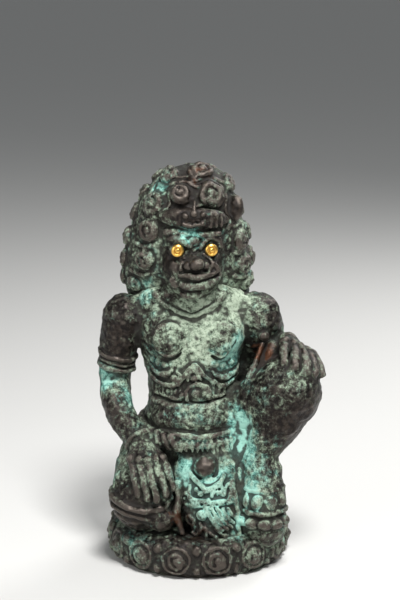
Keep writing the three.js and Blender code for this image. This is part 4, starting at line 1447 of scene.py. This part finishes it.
    def mouth(self, clay: Clay) -> None:
        """A wide mouth with thick lips that rises to the right, with a knob at its other corner."""
        upper = [(-4.4, -4.4), (-1.8, -4.6), (1.0, -4.8), (4.2, -4.3), (6.8, -3.5)]
        clay.add(self.line(upper, (0.5, 0.85, 0.95, 0.9, 0.5), 0.4), 0.4)
        lower = [(-3.6, -7.2), (-1.2, -7.6), (1.6, -7.3), (4.8, -6.6), (6.9, -5.6)]
        clay.add(self.line(lower, (1.0, 1.3, 1.45, 1.3, 0.9), 0.3), 0.4)
        clay.cut(self.line([(-4.6, -5.9), (-1.6, -6.0), (1.6, -5.9), (4.6, -5.3), (7.2, -4.4)], 0.42, 0.9), 0.25)
        clay.cut(self.line([(-3.8, -9.0), (-1.2, -9.3), (1.6, -8.9), (4.8, -8.0), (7.2, -6.6)], 0.5, 0.3), 0.4)
        clay.add(Rod(oval(self.spot(-5.4, -6.5, 0.5), 1.2, 1.3, 8), 0.55, closed=True, per_span=3), 0.3)
        clay.add(Pebble(self.spot(-5.4, -6.5, 0.4), (0.8, 0.8, 0.9)), 0.3)
        clay.add(Pebble(self.spot(-0.8, -10.2, -0.6), (3.4, 1.6, 1.4)), 0.8)

    def seat(self, side: int) -> tuple[np.ndarray, np.ndarray]:
        """The middle of the back of an eye, and the direction in which it looks.

        Args:
            side: -1 for the figure's right eye, 1 for its left.

        Returns:
            The place in millimetres and the direction.
        """
        low, high = (np.array(c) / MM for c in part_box(Node.RIGHT_EYE.value if side < 0 else Node.LEFT_EYE.value))
        turn = math.radians(self.turn)
        out = np.array([0.08 * side * math.cos(turn) + math.sin(turn), 0.08 * side * math.sin(turn) - math.cos(turn), 0.02])
        out = out / np.linalg.norm(out)
        middle = (low + high) / 2
        return middle - out * 0.68, out


@dataclass
class Hair:
    """The mass of hair with its curls and the band over the brow.

    Attributes:
        front_curls: The curls that frame the face: height, bearing and radius of each.
        rows: Rows of curls behind: height, how many, first and last bearing.
        curl_radius: The radius of a curl behind.
    """

    front_curls: Sequence[Point] = (
        (117.0, 16, 4.2),
        (115.8, -52, 3.4),
        (111.3, -12, 3.6),
        (110.8, 28, 4.5),
        (107.8, -45, 4.3),
        (100.2, -42, 3.8),
        (91.6, -42, 3.5),
        (83.4, -56, 2.9),
        (97.0, 62, 3.7),
        (89.6, 62, 3.5),
        (83.2, 70, 2.8),
        (113.4, 74, 3.0),
        (110.2, -94, 3.1),
        (104.4, -90, 3.2),
        (97.2, -86, 3.2),
        (90.4, -84, 3.1),
        (84.4, -92, 2.9),
        (105.6, 100, 3.4),
        (98.2, 98, 3.3),
        (90.8, 98, 3.3),
        (83.8, 102, 3.0),
        (114.4, -110, 3.2),
        (113.0, 112, 3.2),
    )
    rows: Sequence[Point] = (
        (114.6, 3, 150, 230),
        (107.6, 5, 130, 236),
        (99.8, 6, 128, 238),
        (92.0, 6, 126, 240),
        (84.4, 6, 128, 238),
        (77.6, 4, 134, 226),
    )
    locks: Sequence[Sequence[Point]] = (
        ((114.9, -38), (115.6, -12), (114.4, 6), (115.4, 26), (113.8, 56)),
        ((113.6, -32), (114.6, -8), (113.0, 8), (114.2, 30), (112.4, 50)),
        ((112.0, -28), (107.6, -24), (104.6, -36)),
        ((108.6, -12), (107.2, 4), (108.4, 18)),
        ((110.6, 52), (106.8, 46), (103.6, 50), (101.0, 46)),
        ((115.8, -74), (112.4, -66), (110.6, -58)),
        ((104.2, -58), (103.6, -46), (104.4, -32)),
        ((96.0, -58), (95.4, -44), (96.0, -34)),
        ((87.6, -62), (86.8, -46), (87.4, -36)),
        ((101.6, 76), (101.2, 62), (101.8, 50)),
        ((93.6, 78), (93.2, 62), (93.6, 50)),
        ((86.2, 80), (85.6, 62), (86.2, 48)),
    )
    curl_radius: float = 3.9

    def add_to(self, clay: Clay, curl: bpy.types.NodeTree) -> None:
        """Models the hair onto the clay."""
        clay.add(HAIR)
        for lock in self.locks:
            clay.add(Rod([HAIR.around(z, bearing, 0.1)[0] for z, bearing in lock], 0.6), 0.5)
        places, facing, sizes = [], [], []
        rest = [
            (height, first + (last - first) * i / (count - 1), self.curl_radius)
            for height, count, first, last in self.rows
            for i in range(int(count))
        ]
        for height, bearing, radius in (*self.front_curls, *rest):
            place, out = HAIR.around(height, bearing, 0.1)
            places.append(place * MM)
            facing.append(out)
            sizes.append(radius * MM)
        clay.add_mesh(grown_mesh(curl, np.array(places), {"Seed": 4}, np.array(facing), np.array(sizes)), 0.8)
        clay.add(Pebble((10.6, -4.4, 106.0), (2.2, 2.6, 4.2), turn=50, tilt=6), 0.5)
        for side, x in ((-1, -9.6), (1, 8.2)):
            clay.cut(Rod([(x, -12.4, 98), (x + 0.2 * side, -12.2, 92), (x, -11.6, 86.6)], (0.8, 1.1, 0.9)), 0.8)
        self.band(clay)

    def band(self, clay: Clay) -> None:
        """The smooth swelling band over the brow, with a small ornament, and a thin strip under it."""
        line = [(-11, -8.8, 104.6), (-7.4, -11.6, 104.7), (-2.2, -13.2, 104.5), (3.2, -12.4, 104.5), (7.8, -8.6, 103.8)]
        clay.add(Rod(line, (1.3, 2.5, 3.3, 2.8, 1.3), squash=0.66), 0.5)
        strip = [(-9.6, -11.6, 100.6), (-5.2, -13.2, 100.4), (-1.6, -13.8, 100.1), (2.2, -13.2, 100.0), (6, -11.8, 100.2)]
        clay.add(Rod(strip, 0.85), 0.6)
        for x, y, z, size in ((-3.8, -15.0, 106.0, 0.8), (-1.2, -15.4, 106.6, 1.0), (1.4, -15.0, 106.2, 0.8)):
            clay.add(Pebble((x, y, z), (size * 1.2, 0.9, size)), 0.3)
        clay.add(Rod([(-1.1, -13.4, 109.4), (-1.0, -14.6, 107.6)], (0.5, 0.7)), 0.3)
        for x, z in ((-4.4, 104.6), (-2.6, 104.2), (-0.6, 104.0), (1.2, 104.7)):
            clay.cut(Pebble((x, -15.4, z), (0.55, 0.7, 0.45)), 0.25)
        clay.add(Rod([(-4.4, -15.0, 103.4), (-1.6, -15.6, 102.9), (1.6, -15.2, 103.4)], 0.5), 0.3)
        for x in (3.6, 5.0, 6.4):
            clay.add(Rod([(x, -13.9 + 0.5 * (x - 3.6), 105.9), (x + 0.3, -14.1 + 0.5 * (x - 3.6), 102.4)], 0.5), 0.3)


# ---- Patina ----


@dataclass(frozen=True)
class Patch:
    """A place where the crust lies thick, is rubbed off, or is stained.

    Attributes:
        place: Its middle in millimetres.
        reach: How far it spreads.
        crust: How much crust there is, negative where it is bare.
        blue: How turquoise it is.
        rust: How rusty it is.
    """

    place: Point
    reach: float
    crust: float
    blue: float = 0.0
    rust: float = 0.0


@dataclass(frozen=True)
class Patina:
    """Where the crust lies on the figure.

    Attributes:
        crust: The crust where there is no patch.
        blue: How turquoise it is there.
        rust: How rusty it is there.
        patches: The patches.
    """

    crust: float = 0.05
    blue: float = 0.0
    rust: float = 0.0
    patches: Sequence[Patch] = field(
        default=(
            Patch((-1, -11, 74), 9, 0.5, -0.2),
            Patch((12, -9, 78), 8, 0.5, -0.2),
            Patch((-1, -12, 64), 6, 0.35, 0.0),
            Patch((-14, -9, 61), 4, 0.5, 0.5),
            Patch((10, -9, 61), 5, 0.6, 0.7),
            Patch((12, -9, 67), 4, 0.5, 0.5),
            Patch((-22, -2, 72), 8, -0.45),
            Patch((22, -3, 74), 7, -0.3),
            Patch((-24, -3, 64), 6, -0.5),
            Patch((-27.5, -3, 55.5), 4, 0.6, 0.6),
            Patch((-20.5, -6, 50), 4, 0.4, 0.4),
            Patch((-25, -8, 46), 5, -0.25),
            Patch((-2, -15, 47), 7, 0.3, 0.15),
            Patch((-9, -12, 45), 4, -0.3),
            Patch((13.5, -12, 43), 4.5, 0.95, 1.0),
            Patch((14, -14, 36), 3.5, 0.7, 0.9),
            Patch((3, -18, 28), 8, 0.6, 0.5),
            Patch((4, -20, 19), 6, 0.65, 0.5),
            Patch((2, -20, 32), 3.2, -1.4, -0.4),
            Patch((27, -14, 50), 9, -0.5),
            Patch((27, -16, 56), 5, 0.4, -0.2),
            Patch((31, -14, 44), 8, -0.6),
            Patch((30, -12, 66), 6, -0.1, 0.0, 0.4),
            Patch((18.4, -5, 62), 4.5, -0.6, 0.0, 1.6),
            Patch((17, -18, 30), 6, 0.3, 0.2),
            Patch((16, -20, 24), 3.5, 0.7, 0.6),
            Patch((13, -20, 15), 3, 0.7, 0.6),
            Patch((22, -20, 21), 5, 0.1),
            Patch((-17, -20, 22), 6, -0.2),
            Patch((-20, -16, 15), 7, -0.7),
            Patch((-13, -20, 29), 5, 0.35, -0.1),
            Patch((-8, -20, 28), 3, -0.2),
            Patch((-24, -6, 30), 6, 0.2, 0.2),
            Patch((-4, -18, 30), 4, 0.6, 0.6),
            Patch((-6, -20, 17), 4, -0.2, 0.0, 0.7),
            Patch((0, -21, 12), 4, -0.4, 0.0, 0.4),
            Patch((-16, -6, 82), 5, 0.4, 0.3),
            Patch((14, -6, 82), 5, 0.5, 0.0),
            Patch((-1, -16, 93), 7, -0.2),
            Patch((-9, -13, 91), 3.5, -0.6),
            Patch((7.5, -13, 92), 3.5, -0.5, 0.0, 0.4),
            Patch((-2, -14, 100.4), 3.4, 0.8, 0.9),
            Patch((-3, -15, 105), 5, -0.9),
            Patch((-13, -6, 96), 3, 0.5, 0.6),
            Patch((-11, -5, 113), 3, 0.7, 0.8),
            Patch((0, -6, 116), 7, -0.35, 0.0, 0.5),
            Patch((-4.6, -12, 111), 3.6, -0.8),
            Patch((10, -6, 106), 4, -0.6),
            Patch((-16, -6, 100), 6, -0.2),
            Patch((14, -6, 97), 6, 0.05),
            Patch((0, -26, 4), 16, -0.4),
            Patch((0, -26, 10), 10, 0.1),
            Patch((-20, -18, 10), 6, 0.3, 0.3),
            Patch((14, -24, 8), 5, 0.3),
            Patch((24, -14, 6), 5, 0.1),
        )
    )

    def spread(self, name: str, places: np.ndarray) -> np.ndarray:
        """How much of crust, blue or rust there is at places in millimetres."""
        total = np.full(len(places), getattr(self, name))
        for patch in self.patches:
            gap = ((places - np.array(patch.place)) ** 2).sum(1)
            total += getattr(patch, name) * np.exp(-gap / patch.reach**2)
        return total


class Surroundings:
    """How much metal there is round each place of the whole figure, which shows its hollows."""

    def __init__(self, blocks: Sequence[Clay], step: float = 0.7) -> None:
        """Fills one coarse lattice from all blocks of clay."""
        self.room = Clay((-34, -33, -3), (42, 33, 124), step)
        axes = [self.room.low[k] + step * np.arange(self.room.shape[k]) for k in range(3)]
        full = np.zeros(self.room.shape, dtype=np.float32)
        for clay in blocks:
            spots = [np.rint((axes[k] - clay.low[k]) / clay.step).astype(int) for k in range(3)]
            fits = [np.flatnonzero((s >= 0) & (s < clay.shape[k])) for k, s in enumerate(spots)]
            values = clay.field[np.ix_(*(spots[k][fits[k]] for k in range(3)))]
            where = np.ix_(*fits)
            full[where] = np.maximum(full[where], np.clip(0.5 - values / step, 0, 1))
        self.wide = blurred(full, 3)

    def hollow(self, places: np.ndarray) -> np.ndarray:
        """How hollow each place is, from about -1 on an edge to 1 in a pit."""
        return np.clip((self.room.sample(self.wide, places) - 0.47) * 4, -1, 1)


def weather(made: bpy.types.Object, clay: Clay, patina: Patina, around: Surroundings, still: Sequence[Any]) -> None:
    """Gives an object the attributes that its material reads, then makes its lines a little uneven.

    Args:
        made: The object.
        clay: The clay it was made from.
        patina: Where the crust lies.
        around: The figure's hollows.
        still: Places near which nothing moves.
    """
    mesh = made.data
    places = np.empty(len(mesh.vertices) * 3)
    mesh.vertices.foreach_get("co", places)
    places = places.reshape(-1, 3) / MM
    near = np.clip(clay.field, -2, 2)
    values = {
        "ridge": np.clip(clay.sample(blurred(near, 2) - near, places) * 9, -1.5, 1.5),
        "hollow": around.hollow(places),
        "patina": patina.spread("crust", places),
        "blue": patina.spread("blue", places),
        "rust": patina.spread("rust", places),
    }
    for name, numbers in values.items():
        mesh.attributes.new(name, "FLOAT", "POINT").data.foreach_set("value", numbers.astype(np.float32))
        log.info("%s %s: %s", made.name, name, np.round(np.percentile(numbers, (0, 10, 50, 90, 100)), 2))
    loose = np.clip(places[:, 2] / 2, 0, 1)
    for place in still:
        loose = loose * (1 - np.exp(-((places - place) ** 2).sum(1) / 3.2**2))
    places = places + loose[:, None] * (0.34 * wander(places, 3.1, 5) + 0.16 * wander(places, 1.3, 6))
    mesh.vertices.foreach_set("co", (places * MM).ravel())
    mesh.update()


# ---- Pieces ----


@dataclass
class Figure:
    """The whole casting as four closed skins: the body above and below the waist, the head and the base."""

    base: Base = field(default_factory=Base)
    trunk: Trunk = field(default_factory=Trunk)
    arms: Arms = field(default_factory=Arms)
    legs: Legs = field(default_factory=Legs)
    sash: Sash = field(default_factory=Sash)
    hair: Hair = field(default_factory=Hair)
    face: Face = field(default_factory=Face)
    patina: Patina = field(default_factory=Patina)
    body_step: float = 0.33
    head_step: float = 0.3
    waist: float = 42.0
    most_triangles: int = 192_000

    def body_clay(self, rib: bpy.types.NodeTree) -> Clay:
        """The trunk, limbs and sash in clay."""
        clay = Clay((-33, -27, 6), (40, 25, 91), self.body_step)
        self.trunk.add_to(clay, rib)
        self.arms.add_to(clay)
        self.legs.add_to(clay)
        self.sash.add_to(clay, rib)
        clay.corrode(((4.0, 0.16), (1.8, 0.13), (0.9, 0.08)), 11)
        return clay

    def head_clay(self, curl: bpy.types.NodeTree) -> Clay:
        """The hair and face in clay, with the seats of the eyes."""
        clay = Clay((-26, -24, 68), (20, 23, 122), self.head_step)
        self.hair.add_to(clay, curl)
        clay.add(Rod([(-2, -3, 80), (-2, -4, 90)], (7.6, 7.6)), 1.5)
        self.face.add_to(clay)
        clay.corrode(((3.6, 0.13), (1.6, 0.1), (0.8, 0.06)), 23)
        for side in (-1, 1):
            back, out = self.face.seat(side)
            clay.cut(Rod([back - out * 0.1, back + out * 4], 2.0), 0.2)
        return clay

    def build(self, bronze: bpy.types.Material) -> None:
        """Builds the casting's skins."""
        rib, curl, rosette = rib_tree(bronze), curl_tree(bronze), rosette_tree(bronze)
        blocks = {
            "figure_body": self.body_clay(rib),
            "figure_head": self.head_clay(curl),
            "figure_base": self.base.model(rosette),
        }
        blocks["figure_base"].corrode(((4.0, 0.16), (1.8, 0.14), (0.9, 0.08)), 37)
        around = Surroundings(list(blocks.values()))
        still = [self.face.seat(side)[0] for side in (-1, 1)]
        skins = (
            ("figure_upper", blocks["figure_body"], self.waist, 1e3),
            ("figure_lower", blocks["figure_body"], -FAR, self.waist + 0.3),
            ("figure_head", blocks["figure_head"], -FAR, 1e3),
            ("figure_base", blocks["figure_base"], -FAR, 1e3),
        )
        for name, clay, low, high in skins:
            made = clay.skin(name, self.most_triangles, low, high)
            weather(made, clay, self.patina, around, still)
            made.data.materials.clear()
            made.data.materials.append(bronze)
            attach(made, BODY)
            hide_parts(Node.FIGURE.value)


@dataclass
class Eye:
    """A gold eye: a low domed disc with a ring engraved round its pupil.

    Attributes:
        radius: Its radius.
        thickness: Its thickness.
        sides: How many sides it is turned with.
    """

    radius: float = 1.85
    thickness: float = 1.35
    sides: int = 48
    profile: Sequence[Point] = (
        (0.0, 0.0),
        (0.96, 0.0),
        (1.0, 0.05),
        (1.0, 0.5),
        (0.94, 0.66),
        (0.8, 0.78),
        (0.66, 0.86),
        (0.58, 0.9),
        (0.54, 0.84),
        (0.48, 0.72),
        (0.42, 0.74),
        (0.38, 0.9),
        (0.3, 1.0),
        (0.16, 1.05),
        (0.0, 1.06),
    )

    def build(self, node: Node, seat: tuple[np.ndarray, np.ndarray], gold: bpy.types.Material) -> None:
        """Builds the eye in its seat.

        Args:
            node: The solid that it stands for.
            seat: The place of its back and the direction in which it looks.
            gold: Its material.
        """
        back, out = seat
        turn = Vector((0, 0, 1)).rotation_difference(Vector(out))
        points, faces = [], []
        for radius, height in self.profile[1:-1]:
            for s in range(self.sides):
                a = 2 * math.pi * s / self.sides
                spot = Vector((radius * math.cos(a), radius * math.sin(a), 0)) * self.radius
                points.append(spot + Vector((0, 0, height * self.thickness)))
        points += [Vector((0, 0, self.profile[i][1] * self.thickness)) for i in (0, -1)]
        rings = len(self.profile) - 2
        for s in range(self.sides):
            t = (s + 1) % self.sides
            faces.append((len(points) - 2, t, s))
            faces.append((len(points) - 1, (rings - 1) * self.sides + s, (rings - 1) * self.sides + t))
            for r in range(rings - 1):
                low, high = r * self.sides, (r + 1) * self.sides
                faces.append((low + s, low + t, high + t, high + s))
        mesh = bpy.data.meshes.new(f"{node.value}_inlay")
        mesh.from_pydata([(turn @ p + Vector(back)) * MM for p in points], [], faces)
        mesh.shade_smooth()
        mesh.materials.append(gold)
        made = bpy.data.objects.new(f"{node.value}_inlay", mesh)
        bpy.context.scene.collection.objects.link(made)
        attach(made, BODY)
        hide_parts(node.value)
        log.info("%s: %d faces", made.name, len(faces))


@dataclass
class Studio:
    """The camera, the lights and the floor.

    Attributes:
        aim: Where the camera looks, in millimetres.
        distance: How far it stands.
        elevation: How high it stands, in degrees.
        lens: Its focal length.
    """

    aim: Point = (0.5, 0.0, 78.0)
    distance: float = 496.0
    elevation: float = 12.0
    lens: float = 100.0

    def build(self) -> None:
        """Sets up the studio."""
        self.camera()
        self.floor()
        self.light("key", (0.08, -0.26, 0.5), 0.14, 3.6)
        self.light("fill", (-0.4, -0.36, 0.24), 0.3, 0.8)
        self.light("back", (0.3, 0.3, 0.4), 0.24, 1.6)
        world = bpy.data.worlds.new("soft room")
        world.use_nodes = True
        world.node_tree.nodes["Background"].inputs[0].default_value = linear("#dfe3e6")
        world.node_tree.nodes["Background"].inputs[1].default_value = 0.26
        bpy.context.scene.world = world
        bpy.context.scene.view_settings.view_transform = "Standard"

    def camera(self) -> None:
        """The camera at the photograph's viewing angle."""
        data = bpy.data.cameras.new("camera")
        data.lens, data.sensor_width, data.sensor_fit = self.lens, 36.0, "AUTO"
        data.clip_start, data.clip_end = 0.01, 20.0
        made = bpy.data.objects.new("camera", data)
        tilt = math.radians(self.elevation)
        away = Vector((0, -math.cos(tilt), math.sin(tilt)))
        made.location = (Vector(self.aim) + away * self.distance) * MM
        made.rotation_mode = "QUATERNION"
        made.rotation_quaternion = (-away).to_track_quat("-Z", "Y")
        bpy.context.scene.collection.objects.link(made)
        bpy.context.scene.camera = made

    def floor(self) -> None:
        """A wide pale floor."""
        half = 6.0
        mesh = bpy.data.meshes.new("floor")
        mesh.from_pydata([(-half, -half, 0), (half, -half, 0), (half, half, 0), (-half, half, 0)], [], [(0, 1, 2, 3)])
        mesh.materials.append(PaperFloor().material())
        made = bpy.data.objects.new("floor", mesh)
        bpy.context.scene.collection.objects.link(made)

    def light(self, name: str, place: Point, size: float, power: float) -> None:
        """A soft square light that looks at the figure's chest."""
        data = bpy.data.lights.new(name, "AREA")
        data.size, data.energy = size, power
        made = bpy.data.objects.new(name, data)
        made.location = place
        made.rotation_mode = "QUATERNION"
        made.rotation_quaternion = (Vector((0, 0, 0.07)) - Vector(place)).to_track_quat("-Z", "Y")
        bpy.context.scene.collection.objects.link(made)


def write_sizes() -> None:
    """Updates the view layer."""
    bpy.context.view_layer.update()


def main() -> None:
    """Builds the figure, its eyes and the studio."""
    figure = Figure()
    figure.build(BuriedBronze().material())
    gold = InlaidGold().material()
    Eye().build(Node.RIGHT_EYE, figure.face.seat(-1), gold)
    Eye().build(Node.LEFT_EYE, figure.face.seat(1), gold)
    Studio().build()
    write_sizes()


if __name__ == "__main__":
    main()
